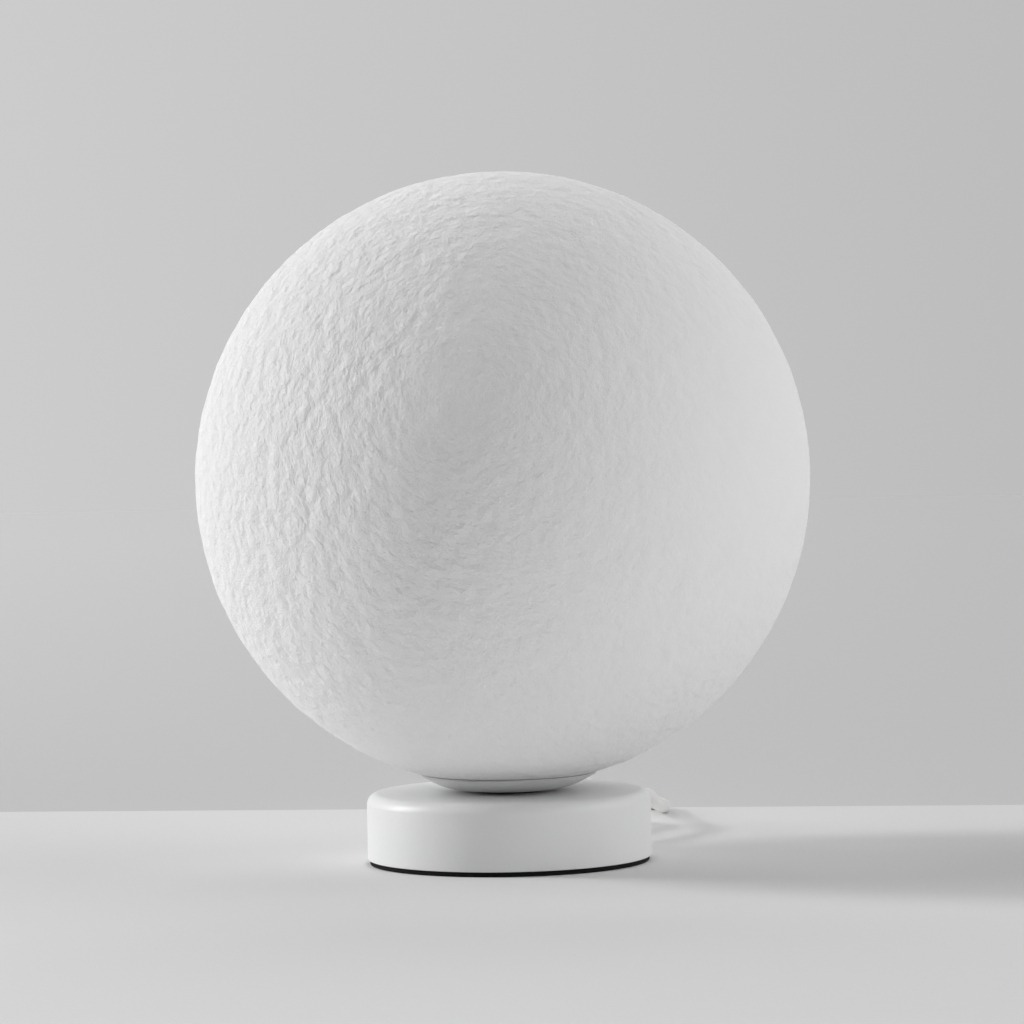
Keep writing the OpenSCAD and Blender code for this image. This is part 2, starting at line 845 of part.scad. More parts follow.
module cord_to_switch() {
    color([0.93, 0.93, 0.92])
        sweep(switch_route, cord_r, cord_sides);
}

module cord_to_coil() {
    color([0.93, 0.93, 0.92])
        sweep(coil_route, cord_r, cord_sides);
}

module cord_to_plug() {
    color([0.93, 0.93, 0.92])
        sweep(plug_route, cord_r, cord_sides);
}

// The tie loops round the coil's turns at one place; the coil stands on it there
module tie_place() {
    translate([coil_at[0], coil_at[1], 0])
        rotate([0, 0, tie_angle])
            translate([coil_mid_r, 0, 0])
                children();
}

module cord_coil() {
    edge = 1.5;
    color([0.93, 0.93, 0.92])
        difference() {
            translate([coil_at[0], coil_at[1], 0])
                rotate_extrude()
                    translate([coil_mid_r, 0])
                        polygon([
                            [-coil_low_half + edge, 0], [coil_low_half - edge, 0], [coil_low_half, edge],
                            [coil_low_half, cord_d - edge], [coil_top_half + 0.5, cord_d + 1],
                            [coil_top_half - edge, coil_h], [-coil_top_half + edge, coil_h],
                            [-coil_top_half - 0.5, cord_d + 1], [-coil_low_half, cord_d - edge],
                            [-coil_low_half, edge]
                        ]);
            tie_place()
                translate([-coil_low_half - 3, -tie_w / 2, -1])
                    cube([coil_low_half * 2 + 6, tie_w, 1 + tie_t]);
        }
}

module coil_tie() {
    gap = 0.5;
    color([0.9, 0.9, 0.9])
        tie_place()
            difference() {
                translate([-coil_low_half - gap - tie_t, -tie_w / 2, 0])
                    cube([2 * (coil_low_half + gap + tie_t), tie_w, coil_h + tie_t]);
                translate([-coil_low_half - gap, -tie_w, tie_t])
                    cube([2 * (coil_low_half + gap), 2 * tie_w, coil_h - tie_t]);
            }
}

// ---- Cord switch ----

module in_switch() {
    translate(switch_at)
        children();
}

module switch_screw_places() {
    for (s = [-1, 1])
        translate([s * switch_screw_at[0], s * switch_screw_at[1], 0])
            children();
}

module switch_bores() {
    rod([-switch_len, 0, switch_low_h], [switch_len, 0, switch_low_h], cord_r + bore_gap);
}

module switch_base() {
    color([0.93, 0.93, 0.92])
        in_switch()
            difference() {
                union() {
                    difference() {
                        linear_extrude(switch_low_h)
                            stadium(switch_len, switch_w);
                        translate([0, 0, switch_wall])
                            linear_extrude(switch_low_h)
                                stadium(switch_len - 2 * switch_wall, switch_in_w);
                    }
                    switch_screw_places()
                        cylinder(r = switch_boss_r, h = switch_low_h, $fn = 32);
                }
                switch_bores();
                switch_screw_places() {
                    translate([0, 0, -1])
                        cylinder(r = switch_screw_r + bore_gap, h = switch_low_h + 2, $fn = 32);
                    translate([0, 0, -1])
                        cylinder(r = switch_head_r + 0.2, h = switch_head_t + 1.2, $fn = 32);
                }
            }
}

module switch_cover() {
    rocker_slot = [2 * (rocker_r + rocker_gap), rocker_w + 2 * rocker_gap];
    color([0.93, 0.93, 0.92])
        in_switch()
            difference() {
                union() {
                    difference() {
                        translate([0, 0, switch_low_h])
                            linear_extrude(switch_cover_h)
                                stadium(switch_len, switch_w);
                        translate([0, 0, switch_low_h - 1])
                            linear_extrude(switch_cover_h - switch_wall + 1)
                                stadium(switch_len - 2 * switch_wall, switch_in_w);
                    }
                    switch_screw_places()
                        translate([0, 0, switch_low_h])
                            cylinder(r = switch_boss_r, h = switch_cover_h - 1, $fn = 32);
                    for (s = [-1, 1])
                        translate([-lug_r, s * (pivot_half - lug_t / 2) - lug_t / 2, pivot_z - lug_r])
                            cube([2 * lug_r, lug_t, switch_h - pivot_z + lug_r - 1]);
                }
                translate([-rocker_slot[0] / 2, -rocker_slot[1] / 2, switch_low_h + 1])
                    cube([rocker_slot[0], rocker_slot[1], switch_cover_h]);
                rod([0, -pivot_half - 1, pivot_z], [0, pivot_half + 1, pivot_z], pivot_r + bore_gap);
                switch_bores();
                switch_screw_places()
                    translate([0, 0, switch_low_h - 1])
                        cylinder(r = switch_screw_r + bore_gap, h = switch_cover_h - 2, $fn = 32);
            }
}

// The rocker seen along its pivot: a disc cut to a shallow V on top
module rocker_outline() {
    top_z = rocker_valley + rocker_rise * rocker_r / rocker_top_half;
    difference() {
        intersection() {
            circle(r = rocker_r);
            polygon([
                [-rocker_r, top_z], [0, rocker_valley], [rocker_r, top_z],
                [rocker_r, 0], [rocker_low_half, -rocker_under],
                [-rocker_low_half, -rocker_under], [-rocker_r, 0]
            ]);
        }
        circle(r = pivot_r + sliver, $fn = 32);
    }
}

module switch_rocker() {
    color([0.93, 0.93, 0.92])
        in_switch()
            translate([0, 0, pivot_z])
                rotate([0, rocker_tilt, 0])
                    rotate([90, 0, 0])
                        translate([0, 0, -rocker_w / 2])
                            linear_extrude(rocker_w)
                                rocker_outline();
}

module switch_pivot() {
    color([0.75, 0.75, 0.75])
        in_switch()
            rod([0, -pivot_half, pivot_z], [0, pivot_half, pivot_z], pivot_r);
}

module switch_terminals() {
    color([0.82, 0.7, 0.38])
        in_switch() {
            for (s = [-1, 1])
                difference() {
                    translate([s * pole_x - pole_size[0] / 2, live_y - pole_size[1] / 2, switch_wall])
                        cube(pole_size);
                    pole_hole(s * pole_screw_x, live_y);
                }
            difference() {
                translate([-pole_x - pole_size[0] / 2, neutral_y - pole_size[1] / 2, switch_wall])
                    cube([2 * pole_x + pole_size[0], pole_size[1], pole_size[2]]);
                for (s = [-1, 1])
                    pole_hole(s * pole_screw_x, neutral_y);
            }
        }
}

module pole_hole(x, y) {
    translate([x, y, switch_wall + pole_size[2] - pole_screw_in])
        cylinder(r = pole_screw_r + bore_gap, h = pole_screw_in + 1, $fn = 24);
}

module switch_terminal_screws() {
    color([0.7, 0.7, 0.7])
        in_switch()
            for (x = [-pole_screw_x, pole_screw_x], y = [live_y, neutral_y])
                translate([x, y, switch_wall + pole_size[2]]) {
                    cylinder(r = pole_head_r, h = 1, $fn = 24);
                    translate([0, 0, -pole_screw_in + 0.2])
                        cylinder(r = pole_screw_r, h = pole_screw_in, $fn = 24);
                }
}

module switch_contact_strip() {
    half = pole_screw_x - pole_head_r - 0.3;
    color([0.8, 0.68, 0.4])
        in_switch()
            translate([-half, live_y - strip_w / 2, switch_wall + pole_size[2]])
                rotate([0, -strip_tilt, 0])
                    cube([2 * half, strip_w, strip_t]);
}

module switch_grips() {
    color([0.9, 0.9, 0.88])
        in_switch()
            for (s = [-1, 1])
                translate([s * 22 - 2, -5, switch_low_h + cord_r])
                    cube([4, 10, switch_cover_h - switch_wall - cord_r]);
}

module switch_leads() {
    core_end = pole_x + pole_size[0] / 2 + core_r / 2;
    in_switch()
        for (s = [-1, 1]) {
            color([0.93, 0.93, 0.92])
                rod([s * lead_end, 0, switch_low_h], [s * switch_len / 2, 0, switch_low_h], cord_r);
            color([0.35, 0.18, 0.08])
                rod([s * (lead_end + core_r / 2), -1.3, switch_low_h - 0.6],
                    [s * core_end, live_y + 0.8, switch_wall + core_r + 0.8], core_r);
            color([0.1, 0.25, 0.6])
                rod([s * (lead_end + core_r / 2), 1.3, switch_low_h - 0.6],
                    [s * core_end, neutral_y - 0.8, switch_wall + core_r + 0.8], core_r);
        }
}

module switch_screws() {
    color([0.7, 0.7, 0.7])
        in_switch()
            switch_screw_places()
                difference() {
                    union() {
                        cylinder(r = switch_head_r, h = switch_head_t, $fn = 32);
                        cylinder(r = switch_screw_r, h = switch_h - 4, $fn = 32);
                    }
                    for (q = [0, 90])
                        rotate([0, 0, q])
                            translate([-1.3, -0.3, -1])
                                cube([2.6, 0.6, 1.8]);
                }
}

// ---- Plug ----

// Drawn with its length along +Y and its face towards -Y
module in_plug(y) {
    translate([plug_x, y, plug_z])
        rotate([-90, 0, 0])
            children();
}

module plug_body() {
    color([0.93, 0.93, 0.92]) {
        in_plug(plug_face_y)
            linear_extrude(plug_face_len)
                stadium(plug_w, plug_t);
        hull() {
            in_plug(plug_mid_y)
                linear_extrude(sliver)
                    stadium(plug_w, plug_t, $fn = 48);
            in_plug(plug_back_y)
                linear_extrude(sliver)
                    stadium(2 * plug_relief_r + 2, 2 * plug_relief_r, $fn = 48);
        }
        in_plug(plug_back_y)
            cylinder(r1 = plug_relief_r - 0.2, r2 = cord_r + relief_tip_wall, h = plug_relief_len);
    }
}

module pin_places() {
    for (s = [-1, 1])
        translate([s * pin_gap / 2, 0, 0])
            in_plug(plug_face_y)
                mirror([0, 0, 1])
                    children();
}

module plug_pins() {
    tip_len = pin_len - sleeve_len;
    color([0.78, 0.78, 0.78])
        pin_places() {
            cylinder(r = sleeve_in_r - bore_gap, h = sleeve_len + sliver, $fn = 48);
            translate([0, 0, sleeve_len])
                cylinder(d = pin_d, h = tip_len - 1, $fn = 48);
            translate([0, 0, pin_len - 1 - sliver])
                cylinder(r1 = pin_d / 2, r2 = pin_d / 2 - 1, h = 1 + sliver, $fn = 48);
        }
}

module pin_sleeves() {
    color([0.93, 0.93, 0.92])
        pin_places()
            difference() {
                cylinder(d = pin_d, h = sleeve_len, $fn = 48);
                translate([0, 0, -1])
                    cylinder(r = sleeve_in_r, h = sleeve_len + 2, $fn = 48);
            }
}

moon_shade();
shade_dish();
dish_washer();
locating_cup();
base_housing();
base_weight();
bottom_plate();
plate_screws();
foot_mat();
lamp_tube();
tube_nuts();
tube_washer();
holder_cap();
holder_body();
holder_screw_shell();
holder_contact_block();
holder_contacts();
holder_terminals();
terminal_screws();
bulb_cap();
bulb_insulator();
bulb_tip_contact();
bulb_housing();
led_board();
bulb_diffuser();
strain_relief();
cord_clamp();
clamp_screws();
inner_cord();
holder_wires();
cord_to_switch();
cord_to_coil();
cord_coil();
cord_to_plug();
coil_tie();
switch_base();
switch_cover();
switch_rocker();
switch_pivot();
switch_terminals();
switch_terminal_screws();
switch_contact_strip();
switch_grips();
switch_leads();
switch_screws();
plug_body();
plug_pins();
pin_sleeves();
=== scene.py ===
import json
import math

import bmesh
import bpy
from mathutils import Matrix, Vector, noise


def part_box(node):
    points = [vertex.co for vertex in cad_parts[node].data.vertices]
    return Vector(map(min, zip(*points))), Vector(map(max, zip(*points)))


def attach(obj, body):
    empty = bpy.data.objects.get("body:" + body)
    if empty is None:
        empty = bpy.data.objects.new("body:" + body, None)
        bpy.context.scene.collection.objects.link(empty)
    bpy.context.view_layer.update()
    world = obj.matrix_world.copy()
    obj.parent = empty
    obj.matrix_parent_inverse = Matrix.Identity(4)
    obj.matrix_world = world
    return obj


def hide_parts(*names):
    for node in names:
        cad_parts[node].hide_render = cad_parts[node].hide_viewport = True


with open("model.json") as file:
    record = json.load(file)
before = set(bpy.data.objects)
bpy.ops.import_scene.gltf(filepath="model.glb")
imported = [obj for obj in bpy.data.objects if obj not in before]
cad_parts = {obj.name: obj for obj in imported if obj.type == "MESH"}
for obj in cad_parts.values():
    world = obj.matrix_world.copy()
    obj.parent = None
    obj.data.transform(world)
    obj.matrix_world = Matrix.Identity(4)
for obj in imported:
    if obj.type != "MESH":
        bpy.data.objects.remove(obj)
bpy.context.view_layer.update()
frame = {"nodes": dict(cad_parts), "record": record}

# Metres throughout, in the part's own frame: the origin is the centre of the mat's underside,
# +Z is up and -Y is the front.

# ---- Camera ----

CAMERA_AT = (0, -1.6336, 0.186)
CAMERA_LENS = 140.75
CAMERA_PITCH = math.radians(1.518)
CAMERA_ROLL = math.radians(1.05)
CAMERA_YAW = math.radians(0.121)


def make_camera():
    """The photograph's viewpoint: almost level, a little above the base, rolled a little."""
    data = bpy.data.cameras.new("camera")
    data.lens = CAMERA_LENS
    camera = bpy.data.objects.new("camera", data)
    turn = (Matrix.Rotation(-CAMERA_YAW, 3, "Z")
            @ Matrix.Rotation(math.pi / 2 - CAMERA_PITCH, 3, "X")
            @ Matrix.Rotation(-CAMERA_ROLL, 3, "Z"))
    camera.rotation_euler = turn.to_euler()
    camera.location = CAMERA_AT
    bpy.context.scene.collection.objects.link(camera)
    bpy.context.scene.camera = camera


# ---- Materials ----

WHITE_PLASTIC = (0.76, 0.76, 0.755)
WHITE_PVC = (0.74, 0.74, 0.73)
# How far the roughness of a surface goes up and down
ROUGH_RANGE = 0.06

# The grain of the globe runs in faint rings round a pole on its front, and fades towards a smooth spot
# on the right. Along the rings its noise comes out at GRAIN_STRETCH times its size.
GRAIN_POLE = Vector((-0.035, -1, 0.26)).normalized()
GRAIN_STRETCH = 0.8
SMOOTH_SPOT = Vector((0.75, -0.65, 0.1)).normalized()
SPOT_EDGE, SPOT_MIDDLE = 0.45, 0.99
GRAIN_FULL, GRAIN_LEAST = 1.4, 0.3
# The layers of noise in the grain: size and depth in metres, and detail
GRAIN_LAYERS = (0.0080, 0.0013, 1.0), (0.0022, 0.00038, 1.0), (0.0008, 0.00034, 2.0)
GLOBE_DARK, GLOBE_PALE = (0.895, 0.895, 0.895), (0.925, 0.925, 0.925)
GLOBE_ROUGH = 0.66, 0.8
GLOBE_PATCH_SIZE = 1 / 60


def grey(level):
    """The linear value of an sRGB grey from 0 to 255."""
    c = level / 255
    return c / 12.92 if c <= 0.04045 else ((c + 0.055) / 1.055) ** 2.4


def new_material(name):
    material = bpy.data.materials.new(name)
    material.use_nodes = True
    tree = material.node_tree
    return material, tree, tree.nodes["Principled BSDF"]


def add_node(tree, kind, inputs=None, **settings):
    """A new node; each input is a number, a colour or another node's output."""
    node = tree.nodes.new(kind)
    for key, value in settings.items():
        setattr(node, key, value)
    for key, value in (inputs or {}).items():
        if isinstance(value, bpy.types.NodeSocket):
            tree.links.new(value, node.inputs[key])
        else:
            node.inputs[key].default_value = value
    return node


def calculate(tree, operation, *values):
    """The result of a sum on numbers and other nodes' outputs."""
    return add_node(tree, "ShaderNodeMath", dict(enumerate(values)), operation=operation).outputs[0]


def calculate_vector(tree, operation, inputs):
    node = add_node(tree, "ShaderNodeVectorMath", inputs, operation=operation)
    return node.outputs["Value" if operation == "DOT_PRODUCT" else "Vector"]


def map_range(tree, value, before, after):
    """The value, moved from one range into another and kept inside it."""
    node = add_node(tree, "ShaderNodeMapRange", {
        "Value": value, "From Min": before[0], "From Max": before[1],
        "To Min": after[0], "To Max": after[1]})
    return node.outputs["Result"]


def mix_numbers(tree, share, first, second):
    node = add_node(tree, "ShaderNodeMix", {"Factor": share, 2: first, 3: second}, data_type="FLOAT")
    return node.outputs[0]


def mix_colors(tree, share, first, second):
    node = add_node(tree, "ShaderNodeMix", {"Factor": share, 6: first, 7: second}, data_type="RGBA")
    return node.outputs[2]


def object_place(tree):
    return add_node(tree, "ShaderNodeTexCoord").outputs["Object"]


def object_noise(tree, size, roughness=0.5):
    """Noise in the object's own metres, with features of about this size."""
    node = add_node(tree, "ShaderNodeTexNoise", {
        "Vector": object_place(tree), "Scale": 1 / size, "Detail": 3.0, "Roughness": roughness})
    return node.outputs["Fac"]


def add_bump(tree, shader, height, depth):
    bump = add_node(tree, "ShaderNodeBump", {"Height": height, "Strength": 1.0, "Distance": depth})
    tree.links.new(bump.outputs["Normal"], shader.inputs["Normal"])


def surface(name, color, rough, metal=0.0, tint=0.02, tint_size=0.02, grain=0.00002,
            grain_size=0.0008, specular=0.5):
    """A material with soft colour and gloss variation and a fine grain, each at its real size."""
    material, tree, shader = new_material(name)
    dark, pale = [(*[min(1, c * share) for c in color], 1) for share in (1 - tint, 1 + tint)]
    shade = mix_colors(tree, object_noise(tree, tint_size), dark, pale)
    tree.links.new(shade, shader.inputs["Base Color"])
    fine = object_noise(tree, grain_size, 0.6)
    gloss = map_range(tree, fine, (0, 1), (rough - ROUGH_RANGE, rough + ROUGH_RANGE))
    tree.links.new(gloss, shader.inputs["Roughness"])
    add_bump(tree, shader, fine, grain)
    shader.inputs["Metallic"].default_value = metal
    shader.inputs["Specular IOR Level"].default_value = specular
    return material


def grain_share(direction):
    """How strong the grain is in a direction."""
    share = (direction.dot(SMOOTH_SPOT) - SPOT_EDGE) / (SPOT_MIDDLE - SPOT_EDGE)
    return GRAIN_FULL + (GRAIN_LEAST - GRAIN_FULL) * min(1, max(0, share))


def along_grain(tree, outward):
    """The point where the grain's noise is read for a direction.

    The angle from the pole takes the place of the height along it, and the rings are scaled.
    """
    pole = tuple(GRAIN_POLE)
    height = calculate_vector(tree, "DOT_PRODUCT", {0: outward, 1: pole})
    angle = calculate(tree, "ARCCOSINE", height)
    rest = calculate(tree, "MULTIPLY_ADD", height, -1 / GRAIN_STRETCH, angle)
    lengthways = calculate_vector(tree, "SCALE", {0: pole, "Scale": rest})
    scaled = calculate_vector(tree, "SCALE", {0: outward, "Scale": 1 / GRAIN_STRETCH})
    return calculate_vector(tree, "ADD", {0: scaled, 1: lengthways})


def globe_surface():
    """Matt white plastic with a fine wrinkled grain that runs in rings round the grain's pole."""
    material, tree, shader = new_material("globe_white")
    centred = calculate_vector(tree, "ADD", {0: object_place(tree), 1: (0, 0, -GLOBE_Z)})
    outward = calculate_vector(tree, "NORMALIZE", {0: centred})
    ringed = along_grain(tree, outward)
    height = 0.0
    for size, depth, detail in GRAIN_LAYERS:
        layer = add_node(tree, "ShaderNodeTexNoise", {
            "Vector": ringed, "Scale": GLOBE_R / size, "Detail": detail, "Roughness": 0.6})
        height = calculate(tree, "MULTIPLY_ADD", layer.outputs["Fac"], depth, height)
    spot = calculate_vector(tree, "DOT_PRODUCT", {0: outward, 1: tuple(SMOOTH_SPOT)})
    share = map_range(tree, spot, (SPOT_EDGE, SPOT_MIDDLE), (GRAIN_FULL, GRAIN_LEAST))
    add_bump(tree, shader, calculate(tree, "MULTIPLY", height, share), 1.0)
    patches = object_noise(tree, GLOBE_PATCH_SIZE)
    shade = mix_colors(tree, patches, (*GLOBE_DARK, 1), (*GLOBE_PALE, 1))
    tree.links.new(shade, shader.inputs["Base Color"])
    tree.links.new(map_range(tree, patches, (0, 1), GLOBE_ROUGH), shader.inputs["Roughness"])
    shader.inputs["Specular IOR Level"].default_value = 0.35
    return material


def core_surface():
    """Brown core insulation, and the cord's white sheath on the leads' outer ends in the switch."""
    material = surface("core_insulation", (0.16, 0.07, 0.03), 0.4, tint=0.1)
    tree = material.node_tree
    color = tree.nodes["Principled BSDF"].inputs["Base Color"]
    place = add_node(tree, "ShaderNodeSeparateXYZ", {0: object_place(tree)})
    aside = calculate(tree, "SUBTRACT", place.outputs["X"], SWITCH_AT.x)
    outer = calculate(tree, "GREATER_THAN", calculate(tree, "ABSOLUTE", aside), SHEATH_FROM)
    in_switch = calculate(tree, "GREATER_THAN", place.outputs["Y"], SWITCH_AT.y - SWITCH_WIDTH / 2)
    sheath = calculate(tree, "MULTIPLY", outer, in_switch)
    brown = color.links[0].from_socket
    tree.links.new(mix_colors(tree, sheath, brown, (*WHITE_PVC, 1)), color)
    return material


# Colour, roughness and what else each plain surface has
LOOKS = {
    "white_paint": ((0.831, 0.834, 0.836), 0.4, dict(tint=0.012, grain=0.000012, grain_size=0.0011)),
    "black_rubber": ((0.009, 0.009, 0.009), 0.8, dict(tint=0.2, grain=0.00004, specular=0.1)),
    "zinc_steel": ((0.6, 0.6, 0.61), 0.34, dict(metal=1.0, tint=0.05, tint_size=0.006)),
    "weight_iron": ((0.07, 0.07, 0.072), 0.8,
                    dict(tint=0.3, tint_size=0.004, grain=0.0002, grain_size=0.0016)),
    "brass": ((0.72, 0.55, 0.24), 0.3, dict(metal=1.0, tint=0.06, tint_size=0.005)),
    "holder_plastic": (WHITE_PLASTIC, 0.32, dict(tint=0.015)),
    "holder_ceramic": ((0.72, 0.70, 0.65), 0.6, dict(tint=0.04, tint_size=0.005)),
    "nickel": ((0.68, 0.66, 0.63), 0.22, dict(metal=1.0, tint=0.03, tint_size=0.006)),
    "black_insulator": ((0.012, 0.012, 0.013), 0.25, dict(tint=0.1)),
    "bulb_plastic": (WHITE_PLASTIC, 0.35, dict(tint=0.012)),
    "led_board": ((0.74, 0.75, 0.74), 0.4, dict(tint=0.03, tint_size=0.003)),
    "milky_diffuser": ((0.82, 0.82, 0.80), 0.5, dict(tint=0.01)),
    "white_pvc": (WHITE_PVC, 0.42, dict(grain=0.000015, grain_size=0.0014)),
    "switch_plastic": (WHITE_PLASTIC, 0.28, dict(tint=0.012, grain=0.000008)),
}


def record_materials():
    """One material for each material slot of the record."""
    made = {name: surface(name, color, rough, **more) for name, (color, rough, more) in LOOKS.items()}
    made["globe_white"] = globe_surface()
    made["core_insulation"] = core_surface()
    return made


# ---- Meshes ----

# The radius of a small soft edge, and the gap round what goes through a bore
SOFT_EDGE = 0.0004
BORE_GAP = 0.00005


def mesh_object(name, vertices, faces, sharp=30):
    """A mesh object whose edges are smooth up to an angle, in degrees."""
    mesh = bpy.data.meshes.new(name)
    mesh.from_pydata([tuple(v) for v in vertices], [], faces)
    mesh.validate()
    mesh.update()
    mesh.polygons.foreach_set("use_smooth", [True] * len(mesh.polygons))
    mesh.set_sharp_from_angle(angle=math.radians(sharp))
    made = bpy.data.objects.new(name, mesh)
    bpy.context.scene.collection.objects.link(made)
    return made


def place_piece(piece, body, slot, nodes):
    """The piece moves with a body, takes a slot's material and stands for some CAD nodes."""
    piece.data.materials.clear()
    piece.data.materials.append(MATERIALS[slot])
    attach(piece, body)
    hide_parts(*nodes)
    return piece


def rounded(corners, steps=5):
    """An outline of (radius, height) points from corners (r, z) or (r, z, fillet)."""
    points = []
    count = len(corners)
    for i, corner in enumerate(corners):
        here = Vector(corner[:2])
        fillet = corner[2] if len(corner) > 2 else 0
        if not fillet:
            points.append(here)
            continue
        before = (Vector(corners[i - 1][:2]) - here).normalized()
        after = (Vector(corners[(i + 1) % count][:2]) - here).normalized()
        half = before.angle(after) / 2
        reach = fillet / math.tan(half)
        centre = here + (before + after).normalized() * (fillet / math.sin(half))
        start, end = here + before * reach - centre, here + after * reach - centre
        sweep = start.angle_signed(end)
        points += [centre + Matrix.Rotation(-sweep * k / steps, 2) @ start
                   for k in range(steps + 1)]
    return points


def lathe(name, outline, segments, place=Matrix(), wave=None):
    """A closed outline of (radius, height) turned about Z.

    wave(radius, height, angle) may change the radius.
    """
    vertices, faces, rings = [], [], []
    for r, z in outline:
        if r < 1e-7:
            rings.append([len(vertices)] * segments)
            vertices.append(Vector((0, 0, z)))
            continue
        rings.append(list(range(len(vertices), len(vertices) + segments)))
        for k in range(segments):
            a = 2 * math.pi * k / segments
            q = wave(r, z, a) if wave else r
            vertices.append(Vector((q * math.cos(a), q * math.sin(a), z)))
    for low, high in zip(rings, rings[1:] + rings[:1]):
        if low[0] == low[1] and high[0] == high[1]:
            continue
        for k in range(segments):
            m = (k + 1) % segments
            face = list(dict.fromkeys((low[k], low[m], high[m], high[k])))
            if len(face) > 2:
                faces.append(face)
    return mesh_object(name, [place @ v for v in vertices], faces)


def rod_mesh(name, start, end, r, sides=48):
    """A round rod between two points."""
    along = end - start
    length = along.length
    place = Matrix.Translation(start) @ along.to_track_quat("Z", "Y").to_matrix().to_4x4()
    outline = [Vector((0, 0)), Vector((r, 0)), Vector((r, length)), Vector((0, length))]
    return lathe(name, outline, sides, place)


def loft(name, loops, sharp=30):
    """A closed skin over loops of equally many points, with a flat face on the first and the last."""
    size = len(loops[0])
    vertices = [v for loop in loops for v in loop]
    faces = [list(range(size - 1, -1, -1)), list(range(size * (len(loops) - 1), size * len(loops)))]
    for i in range(len(loops) - 1):
        for k in range(size):
            m = (k + 1) % size
            faces.append([i * size + k, i * size + m, (i + 1) * size + m, (i + 1) * size + k])
    return mesh_object(name, vertices, faces, sharp)


def stadium(length, width, steps=16):
    """Plan points of a bar with round ends, counter-clockwise."""
    centre = (length - width) / 2
    points = []
    for side in (1, -1):
        for k in range(steps + 1):
            a = math.pi * (k / steps - 0.5)
            points.append(Vector((side * (centre + width / 2 * math.cos(a)),
                                  side * width / 2 * math.sin(a))))
    return points


def cut(piece, tool):
    """Takes the tool's shape out of the piece, then removes the tool."""
    change = piece.modifiers.new("cut", "BOOLEAN")
    change.object = tool
    change.operation = "DIFFERENCE"
    change.solver = "EXACT"
    result = piece.evaluated_get(bpy.context.evaluated_depsgraph_get())
    mesh = bpy.data.meshes.new_from_object(result)
    piece.modifiers.clear()
    piece.data = mesh
    bpy.data.objects.remove(tool)


# ---- Free cord ----

BASE_R = 0.058
CORD_D = 0.006
CORD_R = CORD_D / 2
EXIT_ANGLE = math.radians(60)
EXIT_DIRECTION = Vector((math.cos(EXIT_ANGLE), math.sin(EXIT_ANGLE), 0))
EXIT_Z = 0.016
RELIEF_LENGTH = 0.026
RELIEF_WALL = 0.002
RELIEF_RIBS = 6
RELIEF_TIP = EXIT_DIRECTION * (BASE_R + RELIEF_LENGTH) + Vector((0, 0, EXIT_Z))
INSIDE_SWITCH = 0.004


def behind(points):
    """Points whose y is measured from the base's back."""
    return [Vector((x, BASE_R + y, z)) for x, y, z in points]


# The cord's route in three stretches: from the base to the switch, from there to the coil, and from the
# coil to the plug
SWITCH_ROUTE = [RELIEF_TIP + EXIT_DIRECTION * ahead for ahead in (-0.003, 0, 0.003)] + behind([
    (0.048, 0.025, 0.0162), (0.0525, 0.034, 0.0162), (0.0565, 0.044, 0.0158), (0.0595, 0.055, 0.015),
    (0.0615, 0.067, 0.0136), (0.063, 0.080, 0.0114), (0.065, 0.093, 0.0084), (0.0675, 0.105, 0.0056),
    (0.0698, 0.116, 0.0038), (0.0705, 0.126, 0.003), (0.0684, 0.1354, 0.003), (0.0626, 0.1424, 0.0032),
    (0.0546, 0.1458, 0.0044), (0.047, 0.146, 0.0058), (0.0425, 0.146, 0.0065), (0.040, 0.146, 0.0065),
])
COIL_ROUTE = behind([
    (-0.020, 0.146, 0.0065), (-0.0225, 0.146, 0.0065), (-0.0295, 0.1452, 0.0054),
    (-0.037, 0.142, 0.0038), (-0.043, 0.1362, 0.0031), (-0.0466, 0.128, 0.003), (-0.048, 0.118, 0.003),
    (-0.0484, 0.106, 0.003), (-0.0476, 0.093, 0.003), (-0.0458, 0.080, 0.003), (-0.0432, 0.068, 0.003),
    (-0.0402, 0.056, 0.003), (-0.0376, 0.046, 0.003),
])
PLUG_Z = 0.018046
PLUG_ROUTE = behind([
    (0.0416, 0.0377, 0.0084), (0.0436, 0.046, 0.009), (0.0442, 0.054, 0.0112), (0.0442, 0.062, 0.0136),
    (0.043, 0.072, 0.0144), (0.039, 0.0805, 0.0146), (0.032, 0.087, 0.015), (0.022, 0.090, 0.0156),
    (0.012, 0.0888, 0.0164), (0.0035, 0.0833, 0.0172), (-0.002, 0.075, 0.0179),
    (-0.004, 0.0685, PLUG_Z), (-0.004, 0.066, PLUG_Z),
])

# The coil: four turns from the outside in, the last of which climbs onto the others, then almost two
# and a half from the inside out on top of them. In one stretch of each turn, all turns of a layer move
# over by one diameter. Angles are in degrees and count on past 360; those of the top layer start anew.
COIL_AT = Vector((0.005, BASE_R + 0.051, 0))
COIL_LOW_TURNS = 4
COIL_START = 192
COIL_END = 1060
COIL_SHIFT_FROM = 40
COIL_SHIFT_TO = 190
COIL_STEP = 6
# The first turn on the table, and the first one on top with the height of its layer
COIL_LOW_R = 0.042
COIL_TOP_R = 0.027
COIL_TOP_Z = 0.0083
# How long the climb to the top layer takes, and how much it starts before its move over
COIL_CLIMB = 130
COIL_CLIMB_EARLY = 60
TIE_ANGLE = 150
TIE_WIDTH = 0.008
TIE_THICK = 0.0008
# How far along the cord the turns rise to make room for the tie under them
TIE_HUMP = 0.012


def eased(t):
    t = min(1, max(0, t))
    return (1 - math.cos(math.pi * t)) / 2


def shift_count(angle):
    """How many diameters the turns of a layer have moved over at an angle."""
    turn, rest = divmod(angle - COIL_SHIFT_TO, 360)
    width = COIL_SHIFT_TO - COIL_SHIFT_FROM
    return turn + eased((rest - (360 - width)) / width)


